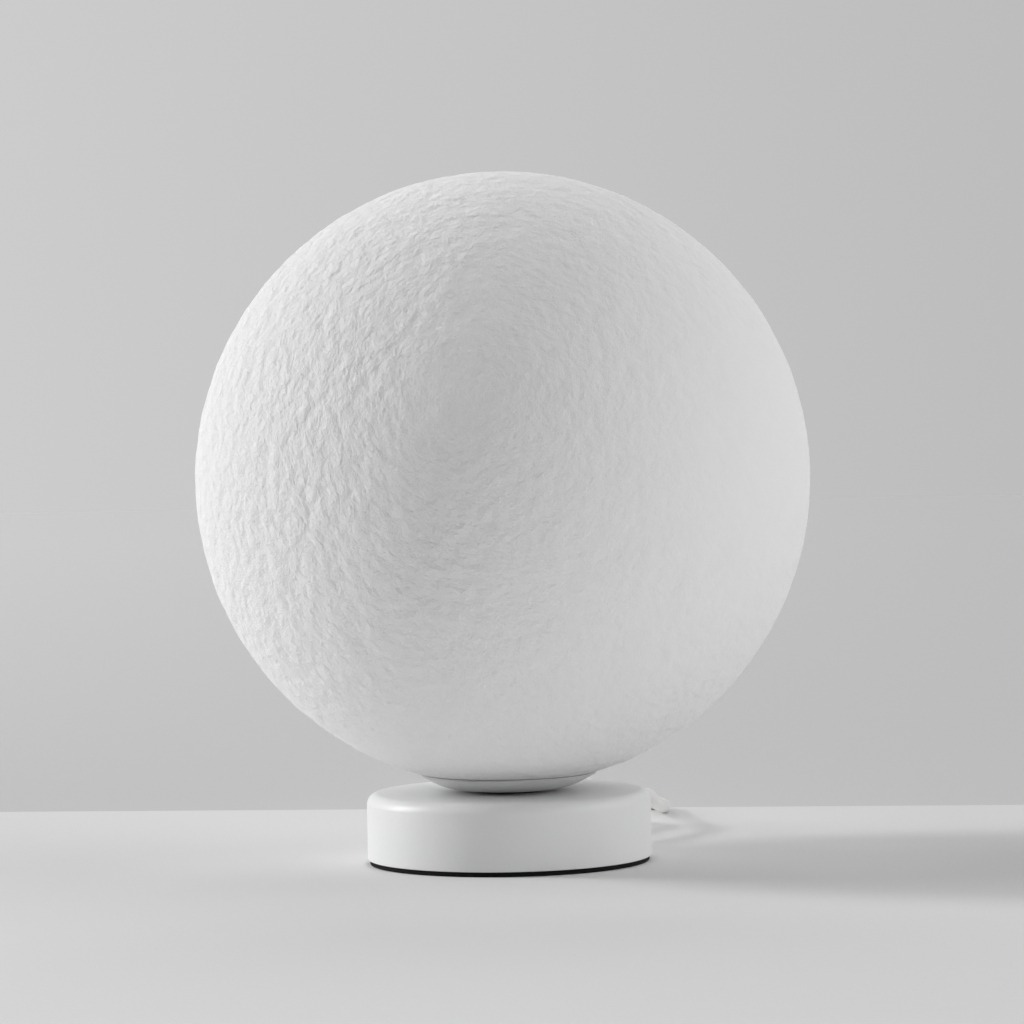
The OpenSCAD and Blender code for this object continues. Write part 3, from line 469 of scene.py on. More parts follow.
def coil_points():
    """Points along the coil, COIL_STEP apart."""
    low_end = COIL_SHIFT_TO + COIL_LOW_TURNS * 360
    points = []
    angle = COIL_START
    while angle < low_end + COIL_END - COIL_SHIFT_TO:
        if angle < low_end:
            climb_from = low_end - COIL_SHIFT_TO + COIL_SHIFT_FROM - COIL_CLIMB_EARLY
            climbed = eased((angle - climb_from) / COIL_CLIMB)
            last_turn = low_end - angle < 360
            moved = shift_count(angle)
            if last_turn:
                moved = min(moved, COIL_LOW_TURNS - 1)
            outward = eased((angle - low_end) / (COIL_SHIFT_TO - COIL_SHIFT_FROM) + 1)
            to_top = COIL_TOP_R - COIL_LOW_R + (COIL_LOW_TURNS - 1) * CORD_D
            r = COIL_LOW_R - CORD_D * moved + outward * to_top * last_turn
            z = CORD_R + climbed * (COIL_TOP_Z - CORD_R) * last_turn
        else:
            r = COIL_TOP_R + CORD_D * shift_count(angle - low_end + COIL_SHIFT_TO)
            z = COIL_TOP_Z
        a = math.radians(angle)
        off_tie = (angle - TIE_ANGLE + 180) % 360 - 180
        lift = TIE_THICK * math.exp(-(math.radians(off_tie) * r / TIE_HUMP) ** 2)
        points.append(COIL_AT + Vector((r * math.cos(a), r * math.sin(a), z + lift)))
        angle += COIL_STEP
    return points


def smooth_path(points, steps=6):
    """Points on a smooth curve through all the given points."""
    made = []
    for i in range(len(points) - 1):
        p0 = points[max(i - 1, 0)]
        p1, p2 = points[i], points[i + 1]
        p3 = points[min(i + 2, len(points) - 1)]
        for k in range(steps):
            t = k / steps
            made.append(0.5 * ((2 * p1) + (p2 - p0) * t + (2 * p0 - 5 * p1 + 4 * p2 - p3) * t ** 2
                               + (3 * p1 - p0 - 3 * p2 + p3) * t ** 3))
    made.append(points[-1].copy())
    return made


def cord_curve(name, points):
    """A round cord through some points, with flat ends."""
    curve = bpy.data.curves.new(name, "CURVE")
    curve.dimensions = "3D"
    curve.bevel_depth = CORD_R
    curve.bevel_resolution = 5
    curve.use_fill_caps = True
    spline = curve.splines.new("POLY")
    spline.points.add(len(points) - 1)
    for made, p in zip(spline.points, points):
        made.co = (*p, 1)
    spline.use_smooth = True
    cord = bpy.data.objects.new(name, curve)
    bpy.context.scene.collection.objects.link(cord)
    return cord


def make_cords():
    x = Vector((1, 0, 0))
    first = smooth_path(SWITCH_ROUTE) + [SWITCH_ROUTE[-1] - x * INSIDE_SWITCH]
    second = ([COIL_ROUTE[0] + x * INSIDE_SWITCH] + smooth_path(COIL_ROUTE, 4)[:-1]
              + smooth_path([COIL_ROUTE[-1]] + coil_points() + PLUG_ROUTE, 3))
    lead = place_piece(cord_curve("cord_to_switch_lead", first), "base", "white_pvc",
                       ["cord_to_switch"])
    rest = place_piece(cord_curve("cord_coiled_lead", second), "base", "white_pvc",
                       ["cord_to_coil", "cord_coil", "cord_to_plug"])
    return lead, rest


# ---- Globe ----

globe_low, globe_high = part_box("moon_shade")
GLOBE_R = (globe_high.x - globe_low.x) / 2
GLOBE_Z = globe_high.z - GLOBE_R
GLOBE_CUT_Z = globe_low.z
GLOBE_WALL = 0.002
GLOBE_CELLS = 122
GLOBE_INNER_RINGS = 40
GLOBE_INNER_SEGMENTS = 120
# The wrinkles grow to their full height in this stretch above the cut edge
WRINKLES_FROM, WRINKLES_RAMP = 0.0005, 0.004
# Sizes and heights of the waves that the wrinkles are made of
BROAD_SIZE, CREASE_SIZE, LUMP_SIZE = 0.016, 0.0085, 0.0045
BROAD_HEIGHT, CREASE_HEIGHT, LUMP_HEIGHT = 0.00022, 0.00014, 0.00016


def wrinkle_height(direction):
    """Height of the globe's wrinkles in a direction, in metres."""
    height = direction.dot(GRAIN_POLE)
    angle = math.acos(min(1, max(-1, height)))
    p = ((direction - GRAIN_POLE * height) / GRAIN_STRETCH + GRAIN_POLE * angle) * GLOBE_R
    broad = noise.noise(p / BROAD_SIZE)
    creases = 1 - 2 * abs(noise.noise(p / CREASE_SIZE + Vector((7, 3, 5))))
    lumps = noise.noise(p / LUMP_SIZE + Vector((1, 9, 4)))
    total = BROAD_HEIGHT * broad + CREASE_HEIGHT * creases + LUMP_HEIGHT * lumps
    return grain_share(direction) * total


def sphere_grid(cells):
    """Directions and quads of a cube's grid blown up into a sphere."""
    directions, faces = [], []
    angles = [math.tan(math.pi / 4 * (2 * i / cells - 1)) for i in range(cells + 1)]
    for axis in range(3):
        for side in (1, -1):
            first = len(directions)
            for u in angles:
                for v in angles:
                    corner = [0, 0, 0]
                    corner[axis] = side
                    corner[(axis + 1) % 3] = u * side
                    corner[(axis + 2) % 3] = v
                    directions.append(Vector(corner).normalized())
            for i in range(cells):
                for j in range(cells):
                    a = first + i * (cells + 1) + j
                    faces.append([a, a + cells + 1, a + cells + 2, a + 1])
    return directions, faces


def make_globe():
    """The globe's shell: a sphere with wrinkles outside, cut flat at its foot, and a smooth inside."""
    directions, faces = sphere_grid(GLOBE_CELLS)
    centre = Vector((0, 0, GLOBE_Z))
    mesh = bpy.data.meshes.new("globe_outer")
    mesh.from_pydata([centre + d * GLOBE_R for d in directions], [], faces)
    skin = bmesh.new()
    skin.from_mesh(mesh)
    bpy.data.meshes.remove(mesh)
    bmesh.ops.remove_doubles(skin, verts=skin.verts, dist=1e-6)
    everything = skin.verts[:] + skin.edges[:] + skin.faces[:]
    bmesh.ops.bisect_plane(skin, geom=everything, plane_co=(0, 0, GLOBE_CUT_Z),
                           plane_no=(0, 0, 1), clear_inner=True, dist=1e-7)
    for vertex in skin.verts:
        away = (vertex.co - centre).normalized()
        fade = min(1, max(0, (vertex.co.z - GLOBE_CUT_Z - WRINKLES_FROM) / WRINKLES_RAMP))
        vertex.co += away * wrinkle_height(away) * fade
    rim = [v for v in skin.verts if abs(v.co.z - GLOBE_CUT_Z) < 1e-6]
    rim.sort(key=lambda v: math.atan2(v.co.y, v.co.x))
    add_inner_wall(skin, centre, rim)
    bmesh.ops.recalc_face_normals(skin, faces=skin.faces)
    made = bpy.data.meshes.new("globe_shell")
    skin.to_mesh(made)
    skin.free()
    made.polygons.foreach_set("use_smooth", [True] * len(made.polygons))
    made.set_sharp_from_angle(angle=math.radians(50))
    globe = bpy.data.objects.new("globe_shell", made)
    bpy.context.scene.collection.objects.link(globe)
    return place_piece(globe, "globe", "globe_white", ["moon_shade"])


def add_inner_wall(skin, centre, rim):
    """The globe's smooth inside, joined to the outer rim by a strip of triangles."""
    inner_r = GLOBE_R - GLOBE_WALL
    lowest = math.acos((GLOBE_CUT_Z - centre.z) / inner_r)
    segments = GLOBE_INNER_SEGMENTS
    rings = []
    for i in range(1, GLOBE_INNER_RINGS + 1):
        t = lowest * i / GLOBE_INNER_RINGS
        z, r = inner_r * math.cos(t), inner_r * math.sin(t)
        rings.append([skin.verts.new(centre + Vector((r * math.cos(a), r * math.sin(a), z)))
                      for a in [2 * math.pi * k / segments - math.pi for k in range(segments)]])
    top = skin.verts.new(centre + Vector((0, 0, inner_r)))
    for k in range(segments):
        skin.faces.new([top, rings[0][(k + 1) % segments], rings[0][k]])
    for low, high in zip(rings[1:], rings):
        for k in range(segments):
            m = (k + 1) % segments
            skin.faces.new([low[k], high[k], high[m], low[m]])
    join_rims(skin, rings[-1], rim)


def join_rims(skin, inner, outer):
    """Triangles between two rims whose points are sorted by angle."""
    def angle(loop, k):
        turn, at = divmod(k, len(loop))
        return math.atan2(loop[at].co.y, loop[at].co.x) + 2 * math.pi * turn

    i = j = 0
    while i < len(inner) or j < len(outer):
        a, b = inner[i % len(inner)], outer[j % len(outer)]
        if j >= len(outer) or (i < len(inner) and angle(inner, i + 1) < angle(outer, j + 1)):
            i += 1
            skin.faces.new([a, inner[i % len(inner)], b])
        else:
            j += 1
            skin.faces.new([a, outer[j % len(outer)], b])


# ---- Dish and base ----

TUBE_R = 0.005
DISH_FOOT_R = 0.021
DISH_WALL = 0.0012
DISH_RISE = math.radians(8)
# The rebate under the globe's edge, which shows as the thin dark line of the joint
REBATE_HIGH, REBATE_DEEP = 0.0004, 0.0008
HOUSING_CORNER = 0.0047
HOUSING_WALL = 0.0015


def make_dish():
    """The shallow dish: its wall is an arc that leaves the flat foot at DISH_RISE."""
    low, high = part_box("shade_dish")
    rim_r, height = high.x, high.z - low.z
    rise = DISH_RISE
    run = rim_r - DISH_FOOT_R
    arc_r = (run ** 2 + height ** 2) / (2 * (height * math.cos(rise) - run * math.sin(rise)))
    half = math.atan2(height, run) - rise

    def arc(t, inward):
        a = rise + 2 * half * t
        r = arc_r - inward
        return Vector((DISH_FOOT_R - arc_r * math.sin(rise) + r * math.sin(a),
                       low.z + arc_r * math.cos(rise) - r * math.cos(a)))

    steps = 24
    outer = [arc(k / steps, 0) for k in range(steps + 1)]
    inner = [arc(k / steps, DISH_WALL) for k in range(steps, -1, -1)]
    outer[-1].y -= REBATE_HIGH + 0.00005
    ledge = high.z - REBATE_HIGH
    lip = [Vector((rim_r - 0.0001, ledge)), Vector((rim_r - REBATE_DEEP, ledge)),
           Vector((rim_r - REBATE_DEEP, high.z)), Vector((rim_r - DISH_WALL + 0.0001, high.z))]
    inner = [p for p in inner if p.y < high.z - 0.0002]
    outline = ([Vector((TUBE_R, low.z))] + outer + lip + inner
               + [Vector((TUBE_R, low.z + DISH_WALL))])
    return place_piece(lathe("dish_shell", outline, 192), "base", "white_paint", ["shade_dish"])


def make_washer():
    low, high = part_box("dish_washer")
    outline = rounded([(TUBE_R, low.z), (high.x, low.z, 0.0003), (high.x, high.z, 0.0003),
                       (TUBE_R, high.z)])
    ring = lathe("dish_washer_ring", outline, 128)
    return place_piece(ring, "base", "black_rubber", ["dish_washer"])


def make_housing():
    """The housing's shell, open below, with the hole that the strain relief sits in."""
    low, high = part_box("base_housing")
    corner, wall = HOUSING_CORNER, HOUSING_WALL
    outline = rounded([
        (TUBE_R, high.z), (high.x, high.z, corner), (high.x, low.z, SOFT_EDGE), (high.x - wall, low.z),
        (high.x - wall, high.z - wall, corner - wall), (TUBE_R, high.z - wall),
    ], 12)
    housing = lathe("housing_shell", outline, 256)
    middle = Vector((0, 0, EXIT_Z))
    cut(housing, rod_mesh("drill", middle, middle + EXIT_DIRECTION * (BASE_R + 0.012),
                          CORD_R + RELIEF_WALL + BORE_GAP))
    housing.data.set_sharp_from_angle(angle=math.radians(30))
    return place_piece(housing, "base", "white_paint", ["base_housing"])


def make_mat():
    low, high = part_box("foot_mat")
    outline = rounded([(0, low.z), (high.x, low.z, SOFT_EDGE), (high.x, high.z, SOFT_EDGE),
                       (0, high.z)])
    return place_piece(lathe("mat_disc", outline, 256), "base", "black_rubber", ["foot_mat"])


def ribbed(start, end, r_start, r_end, ribs, depth):
    """Outline points of a tapered sleeve with grooves cut round it."""
    def radius(height):
        return r_start + (r_end - r_start) * (height - start) / (end - start)

    points = []
    pitch = (end - start) / ribs
    groove = pitch / 2
    soft = 0.1 * pitch
    for k in range(ribs):
        z = start + k * pitch
        points += [Vector((radius(z) - depth, z + 0.001 * soft)),
                   Vector((radius(z) - depth, z + groove - soft)),
                   Vector((radius(z + groove) - depth * 0.1, z + groove)),
                   Vector((radius(z + groove), z + groove + soft)),
                   Vector((radius(z + pitch), z + pitch - soft)),
                   Vector((radius(z + pitch) - depth * 0.1, z + pitch))]
    return points


def make_strain_relief():
    """The strain relief: a lock ring inside the wall, a flange outside it and a ribbed taper."""
    flange_r, flange_t = CORD_R + 0.0036, 0.002
    lock_r, lock_t = CORD_R + 0.0038, 0.0016
    seat, root, tip = BASE_R - 0.0002, BASE_R + flange_t, BASE_R + RELIEF_LENGTH
    barrel_r = CORD_R + RELIEF_WALL
    inner_face = math.sqrt((BASE_R - HOUSING_WALL) ** 2 - lock_r ** 2)
    outline = rounded([
        (CORD_R, inner_face - lock_t), (lock_r, inner_face - lock_t, SOFT_EDGE),
        (lock_r, inner_face), (barrel_r, inner_face), (barrel_r, seat), (flange_r, seat),
        (flange_r, root, 0.0009), (barrel_r + 0.0009, root, 0.0002),
    ])
    outline += ribbed(root + 0.0008, tip - 0.0016, barrel_r + 0.0006, CORD_R + 0.0008,
                      RELIEF_RIBS, 0.0008)
    outline += [Vector((CORD_R + 0.0007, tip - 0.0012)), Vector((CORD_R + 0.0004, tip - 0.0001)),
                Vector((CORD_R, tip))]
    place = (Matrix.Translation((0, 0, EXIT_Z))
             @ EXIT_DIRECTION.to_track_quat("Z", "Y").to_matrix().to_4x4())
    sleeve = lathe("strain_relief_sleeve", outline, 64, place)
    return place_piece(sleeve, "base", "white_pvc", ["strain_relief"])


def make_cup():
    """The sheet-metal cup that keeps the globe in the middle of the dish."""
    low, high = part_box("locating_cup")
    sheet, floor_r = 0.0012, 0.018
    shoulder = high.z - 0.0054
    outline = rounded([
        (TUBE_R, low.z), (floor_r, low.z, 0.0012), (high.x, shoulder, 0.002), (high.x, high.z, 0.0005),
        (high.x - sheet, high.z, 0.0005), (high.x - sheet, shoulder + 0.0004, 0.001),
        (floor_r - 0.0004, low.z + sheet, 0.0006), (TUBE_R, low.z + sheet),
    ])
    return place_piece(lathe("cup_sheet", outline, 128), "base", "zinc_steel", ["locating_cup"])


# ---- Lamp holder and bulb ----

HOLDER_RIBS = 24
HOLDER_RIB_DEPTH = 0.00045


def make_holder_cap():
    low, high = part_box("holder_cap")
    r, boss_r, wall = high.x, 0.008, 0.002
    cavity, skirt = low.z + 0.009, low.z + 0.016
    outline = rounded([
        (TUBE_R, low.z), (boss_r, low.z, 0.0008), (boss_r + 0.001, cavity - 0.001, 0.0015),
        (r, skirt, 0.003), (r, high.z - 0.0006), (r - 0.0004, high.z - 0.0001), (r - wall, high.z),
        (r - wall, skirt + 0.0003, 0.001), (boss_r - 0.001, cavity), (TUBE_R, cavity),
    ], 6)
    shell = lathe("holder_cap_shell", outline, 128)
    return place_piece(shell, "base", "holder_plastic", ["holder_cap"])


def make_holder_body():
    """The screwed sleeve of the lamp holder, with grip ribs round it."""
    low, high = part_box("holder_body")
    r, sleeve_r, mouth_r, bore_r, ledge_r = 0.020, 0.0179, 0.0144, 0.0152, 0.013
    shoulder = high.z - 0.025
    ledge, rest = low.z, low.z + 0.0015
    shell_top = high.z - 0.0009
    rib_from, rib_to = shoulder + 0.003, high.z - 0.005
    outline = rounded([
        (ledge_r, ledge), (sleeve_r, ledge), (sleeve_r, shoulder), (r - 0.0003, shoulder),
        (r, shoulder + 0.0004), (r, rib_from), (r, rib_from + 0.0007), (r, rib_to - 0.0007),
        (r, rib_to), (r, high.z - 0.0015, SOFT_EDGE), (r - 0.0015, high.z, 0.0006),
        (mouth_r, high.z, SOFT_EDGE), (mouth_r, shell_top), (bore_r, shell_top), (bore_r, rest),
        (ledge_r, rest),
    ])

    def ribs(radius, height, angle):
        if radius > r - 1e-6 and rib_from < height < rib_to:
            return radius - HOLDER_RIB_DEPTH * (0.5 - 0.5 * math.cos(HOLDER_RIBS * angle)) ** 2
        return radius

    sleeve = lathe("holder_sleeve", outline, HOLDER_RIBS * 10, wave=ribs)
    return place_piece(sleeve, "base", "holder_plastic", ["holder_body"])


def make_bulb():
    """The bulb's conical housing and its domed diffuser."""
    low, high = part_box("bulb_housing")
    neck_r = 0.01388
    outline = rounded([
        (0, low.z), (neck_r, low.z, SOFT_EDGE), (neck_r + 0.0004, low.z + 0.004, 0.004),
        (high.x - 0.0012, high.z - 0.004, 0.003), (high.x, high.z - 0.0001),
        (high.x - 0.0002, high.z), (0, high.z),
    ])
    place_piece(lathe("bulb_cone", outline, 96), "bulb", "bulb_plastic", ["bulb_housing"])
    low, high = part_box("bulb_diffuser")
    wall, steps = 0.0012, 28
    centre_z = high.z - high.x

    def arc(r):
        lowest = math.asin((low.z - centre_z) / r)
        angles = [lowest + (math.pi / 2 - lowest) * k / steps for k in range(steps + 1)]
        return [Vector((r * math.cos(a) * (k < steps), centre_z + r * math.sin(a)))
                for k, a in enumerate(angles)]

    outline = arc(high.x) + arc(high.x - wall)[::-1]
    place_piece(lathe("bulb_dome", outline, 96), "bulb", "milky_diffuser", ["bulb_diffuser"])


# ---- What lies on the free cord ----

def hull_outline(centres, r):
    """The outline of a tight band of radius r round some centres, both anticlockwise."""
    arc_steps = 6
    points = []
    for k, here in enumerate(centres):
        before, after = centres[k - 1], centres[(k + 1) % len(centres)]
        start = math.atan2(*(here - before).yx) - math.pi / 2
        turn = (math.atan2(*(after - here).yx) - math.pi / 2 - start) % (2 * math.pi)
        for i in range(arc_steps + 1):
            a = start + turn * i / arc_steps
            points.append(here + Vector((math.cos(a), math.sin(a))) * r)
    return points


def band_mesh(name, inner, outer, width, place):
    """A closed band between two outlines (outward, height) of equally many points."""
    size = len(inner)
    edge = 0.0003
    loops = []
    for loop, side, inset in ((inner, -1, 0), (outer, -1, edge), (outer, 1, edge), (inner, 1, 0)):
        loops.append([place @ Vector((p.x, side * (width / 2 - inset), p.y)) for p in loop])
    vertices = [v for loop in loops for v in loop]
    faces = []
    for i in range(len(loops)):
        j = (i + 1) % len(loops)
        for k in range(size):
            m = (k + 1) % size
            faces.append([i * size + k, i * size + m, j * size + m, j * size + k])
    return mesh_object(name, vertices, faces, 40)


# The strands at the four corners of the tied bundle: distance from the coil's middle, and height
TIE_CENTRES = (0.0250, 0.0038), (0.0370, 0.0038), (0.0382, 0.0091), (0.0264, 0.0091)
# The points of the tie's outline that its end laps over
TIE_LAP = slice(9, 24)
TIE_OVER_TABLE = 0.00003


def make_tie():
    """A soft strap round the coil, with its end lapped over itself."""
    centres = [Vector(c) for c in TIE_CENTRES]
    clear, thick, lap_gap = CORD_R + 0.0002, TIE_THICK, 0.0001
    inner = hull_outline(centres, clear)
    outer = hull_outline(centres, clear + thick)
    lap = hull_outline(centres, clear + thick + lap_gap)[TIE_LAP]
    lap_out = hull_outline(centres, clear + 2 * thick + lap_gap)[TIE_LAP]
    for p in inner:
        p.y = max(p.y, thick)
    for p in outer + lap + lap_out:
        p.y = max(p.y, TIE_OVER_TABLE)
    place = Matrix.Translation(COIL_AT) @ Matrix.Rotation(math.radians(TIE_ANGLE), 4, "Z")
    strap = band_mesh("tie_strap", inner, outer, TIE_WIDTH, place)
    lap_out[0], lap_out[-1] = lap_out[0].lerp(lap[0], 0.6), lap_out[-1].lerp(lap[-1], 0.6)
    loops = [[place @ Vector((p.x, side * TIE_WIDTH * 0.48, p.y)) for p in lap + lap_out[::-1]]
             for side in (-1, 1)]
    flap = loft("tie_flap", loops, 40)
    strap_mesh = bmesh.new()
    strap_mesh.from_mesh(strap.data)
    strap_mesh.from_mesh(flap.data)
    bmesh.ops.recalc_face_normals(strap_mesh, faces=strap_mesh.faces)
    strap_mesh.to_mesh(strap.data)
    strap_mesh.free()
    bpy.data.objects.remove(flap)
    return place_piece(strap, "base", "white_pvc", ["coil_tie"])


def pill(name, length, width, profile, at):
    """A bar with round ends whose outline moves in by an inset at each height of the profile."""
    loops = [[at + Vector((p.x, p.y, z)) for p in stadium(length - 2 * inset, width - 2 * inset)]
             for inset, z in profile]
    return loft(name, loops, 35)


SWITCH_AT = Vector((0.010, BASE_R + 0.146, 0))
SWITCH_LENGTH = 0.060
SWITCH_WIDTH = 0.024
SWITCH_SPLIT = 0.0065
SWITCH_TOP = 0.0144
SWITCH_WALL = 0.002
SWITCH_FILLET = 0.0034
# The cord's sheath ends this far from the middle of the switch
SHEATH_FROM = 0.0171
SCREW_POCKET_AT = 0.015, 0.0076
SCREW_POCKET_R = 0.0022
SCREW_POCKET_DEEP = 0.0035
ROCKER_R = 0.0071
ROCKER_WIDTH = 0.0094
ROCKER_GAP = 0.0004
ROCKER_TILT = math.radians(9)
PIVOT_Z = SWITCH_TOP - 0.0028


def make_switch_base():
    """The switch's lower shell, with two screw pockets in its underside."""
    profile = [(0.0009, 0), (0.0003, 0.0003), (0, 0.0010), (0, SWITCH_SPLIT - 0.0003),
               (0.0002, SWITCH_SPLIT)]
    shell = pill("switch_tray", SWITCH_LENGTH, SWITCH_WIDTH, profile, SWITCH_AT)
    cut(shell, pill("hollow", SWITCH_LENGTH, SWITCH_WIDTH,
                    [(SWITCH_WALL, SWITCH_WALL), (SWITCH_WALL, SWITCH_SPLIT + 0.001)], SWITCH_AT))
    cut_switch_bore(shell)
    pocket_x, pocket_y = SCREW_POCKET_AT
    for side in (-1, 1):
        bottom = SWITCH_AT + Vector((side * pocket_x, -side * pocket_y, -0.001))
        top = bottom + Vector((0, 0, 0.001 + SCREW_POCKET_DEEP))
        cut(shell, rod_mesh("pocket", bottom, top, SCREW_POCKET_R))
    shell.data.set_sharp_from_angle(angle=math.radians(35))
    return place_piece(shell, "base", "switch_plastic", ["switch_base"])


def cut_switch_bore(shell):
    """Cuts the way for the cord through both ends of the switch."""
    along = Vector((SWITCH_LENGTH, 0, 0))
    middle = SWITCH_AT + Vector((0, 0, SWITCH_SPLIT))
    cut(shell, rod_mesh("bore", middle - along, middle + along, CORD_R + BORE_GAP, 64))


def make_switch_cover():
    """The switch's rounded cover, with a slot for the rocker that flares at its top edge."""
    fillet, steps = SWITCH_FILLET, 8
    profile = [(0.0002, SWITCH_SPLIT), (0, SWITCH_SPLIT + 0.0003)]
    profile += [(fillet * (1 - math.cos(a)), SWITCH_TOP - fillet * (1 - math.sin(a)))
                for a in [math.pi / 2 * k / steps for k in range(steps + 1)]]
    cover = pill("switch_lid", SWITCH_LENGTH, SWITCH_WIDTH, profile, SWITCH_AT)
    cut(cover, pill("hollow", SWITCH_LENGTH, SWITCH_WIDTH,
                    [(SWITCH_WALL, SWITCH_SPLIT - 0.001), (SWITCH_WALL, SWITCH_TOP - 0.003),
                     (SWITCH_WALL + 0.001, SWITCH_TOP - SWITCH_WALL)], SWITCH_AT))
    half_x, half_y = ROCKER_R + ROCKER_GAP, ROCKER_WIDTH / 2 + ROCKER_GAP
    loops = []
    opening = (0, SWITCH_SPLIT + 0.001), (0, SWITCH_TOP - 0.0005), (0.0006, SWITCH_TOP + 0.0001)
    for flare, z in opening:
        loops.append([SWITCH_AT + Vector((x * (half_x + flare), y * (half_y + flare), z))
                      for x, y in ((1, 1), (-1, 1), (-1, -1), (1, -1))])
    cut(cover, loft("slot", loops))
    cut_switch_bore(cover)
    cover.data.set_sharp_from_angle(angle=math.radians(35))
    return place_piece(cover, "base", "switch_plastic", ["switch_cover"])


def make_rocker():
    """The rocker: a disc cut to a shallow V on top, with soft edges."""
    valley, rise = 0.0026, 0.001 / 0.0063
    start, steps = math.radians(30.2), 6
    angles = [start * (1 - k / steps) for k in range(steps + 1)]
    side = [Vector((ROCKER_R * math.cos(a), ROCKER_R * math.sin(a))) for a in angles]
    tip = side[0]
    right = [(tip.x, tip.y - 0.0004), (tip.x - 0.0005, tip.y - 0.0001),
             (0.0015, valley + 0.0015 * rise), (0.0005, valley + 0.0001)]
    corners = right + [(0, valley + 0.00005)] + [(-x, y) for x, y in right[::-1]]
    outline = [Vector(c) for c in corners] + [Vector((-p.x, p.y)) for p in side[1:]]
    foot_x, foot_z = 0.005, -0.0032
    outline += [Vector((-foot_x, foot_z)), Vector((foot_x, foot_z))] + side[:0:-1]
    tilt = Matrix.Rotation(ROCKER_TILT, 4, "Y")
    place = Matrix.Translation(SWITCH_AT + Vector((0, 0, PIVOT_Z))) @ tilt
    half = ROCKER_WIDTH / 2
    slices = [(-half, 0.955), (-half + 0.00012, 0.98), (-half + 0.0005, 1)]
    slices += [(-y, size) for y, size in slices[::-1]]
    loops = [[place @ Vector((p.x * size, y, p.y * size)) for p in outline] for y, size in slices]
    return place_piece(loft("rocker_key", loops, 35), "rocker", "switch_plastic", ["switch_rocker"])


def make_plug():
    """The flat plug's moulded body: a round-ended block, a grooved taper and a ribbed cord sleeve."""
    face, middle, back, end = [BASE_R + y for y in (0.027, 0.040, 0.052, 0.066)]
    wide, high, neck_wide, neck_high = 0.0353, 0.0137, 0.0124, 0.0104
    sections = [(face, wide - 0.0016, high - 0.0016), (face + 0.0002, wide - 0.0006, high - 0.0006),
                (face + 0.0008, wide, high), (middle - 0.002, wide, high)]
    taper_steps, grooves, groove_deep = 30, 5, 0.0007
    for k in range(taper_steps + 1):
        t = k / taper_steps
        ease = t * t * (3 - 2 * t)
        wave = 0.5 - 0.5 * math.cos(2 * math.pi * grooves * t)
        groove = groove_deep * wave * (1 - 0.4 * t)
        y = middle - 0.001 + (back - middle + 0.001) * t
        sections.append((y, wide + (neck_wide - wide) * ease - groove,
                         high + (neck_high - high) * ease - groove * 0.4))
    ribs, sleeve_r, sleeve_taper = 5, 0.0050, 0.0011
    pitch = (end - back - 0.001) / ribs
    for k in range(ribs):
        y = back + 0.0004 + pitch * k
        r0 = sleeve_r - sleeve_taper * k / ribs
        r1 = sleeve_r - sleeve_taper * (k + 0.5) / ribs
        sections += [(y, 2 * r0 + 0.0006, 2 * r0), (y + pitch * 0.42, 2 * r1 + 0.0006, 2 * r1),
                     (y + pitch * 0.5, 2 * r1 - 0.0008, 2 * r1 - 0.0014),
                     (y + pitch * 0.92, 2 * r1 - 0.0010, 2 * r1 - 0.0016)]
    sections += [(end - 0.0006, 0.0078, 0.0074), (end, 0.0074, 0.0070)]
    middle_at = Vector((PLUG_ROUTE[-1].x, 0, PLUG_Z))
    loops = [[middle_at + Vector((p.x, y, p.y)) for p in stadium(a, b, 20)] for y, a, b in sections]
    return place_piece(loft("plug_moulding", loops, 35), "base", "white_pvc", ["plug_body"])


# ---- Stage and light ----

# The table's back edge: its y at x = 0, and how much y grows with x
TABLE_BACK = 0.2135
TABLE_BACK_SLOPE = -0.116
TABLE_EDGE_SOFT = 0.001
# The table's tone at its left and right, and how far out these are: painted light falloff, lighter on
# the left where the light comes from and darker to the right
TABLE_PAINTED_FALLOFF = 0.798, 0.72
TABLE_PAINTED_FALLOFF_AT = 0.2
# Painted light falloff on the wall: its grey at the frame's left and right, lighter on the left where
# the light comes from, and the same just above the table, where it is painted darker
WALL_PAINTED_FALLOFF = 204, 189
WALL_PAINTED_FALLOFF_LOW = 192, 187
# Past this y the floor shows the upper painted greys alone
WALL_FAR = 4.0
# The sideways slope of the line of sight at the frame's sides
VIEW_HALF = 0.128
# Keeps that slope finite where a line of sight runs along the wall
LEAST_DEPTH = 0.05
FLOOR_SIZE = 12.0
SUNS = [
    # name, direction the light comes from, strength, size in degrees
    ("left_top", (-0.640, 0.056, 0.766), 0.377, 30),
    ("left_main", (-0.864, 0.184, 0.470), 1.128, 12),
    ("left_low", (-0.945, 0.253, 0.208), 0.84, 12),
    ("back_left", (-0.394, 0.682, 0.616), 0.17, 30),
    ("back", (0.0, 0.743, 0.669), 0.32, 30),
    ("back_right", (0.394, 0.682, 0.616), 0.234, 30),
    ("right_low", (0.966, 0.0, 0.259), 0.60, 50),
    ("right_high", (0.643, 0.0, 0.766), 0.528, 50),
    ("right_front", (0.740, -0.621, 0.259), 0.42, 50),
    ("front_left", (-0.52, -0.50, 0.692), 0.095, 30),
    ("top", (0.0, 0.0, 1.0), 0.102, 30),
]
AMBIENT = 0.1
# How bright a white floor comes out under these lights
FLOOR_LIGHT = AMBIENT + sum(strength * source[2] for _, source, strength, _ in SUNS) / math.pi
# The floor's colour for the light that it throws back onto the lamp
FLOOR_BOUNCE = 0.91


def wall_painted_falloff(tree, sideways, greys, gain=1.0):
    """The wall's grey with painted light falloff, falling from left to right with the sideways slope of
    the line of sight.
    """
    return map_range(tree, sideways, (-VIEW_HALF, VIEW_HALF), [gain * grey(level) for level in greys])


def seen_directly(tree):
    """1 where the camera, a reflection or glass shows the surface, 0 where it only lights others."""
    path = add_node(tree, "ShaderNodeLightPath").outputs
    shown = calculate(tree, "MAXIMUM", path["Is Camera Ray"], path["Is Glossy Ray"])
    return calculate(tree, "MAXIMUM", shown, path["Is Transmission Ray"])


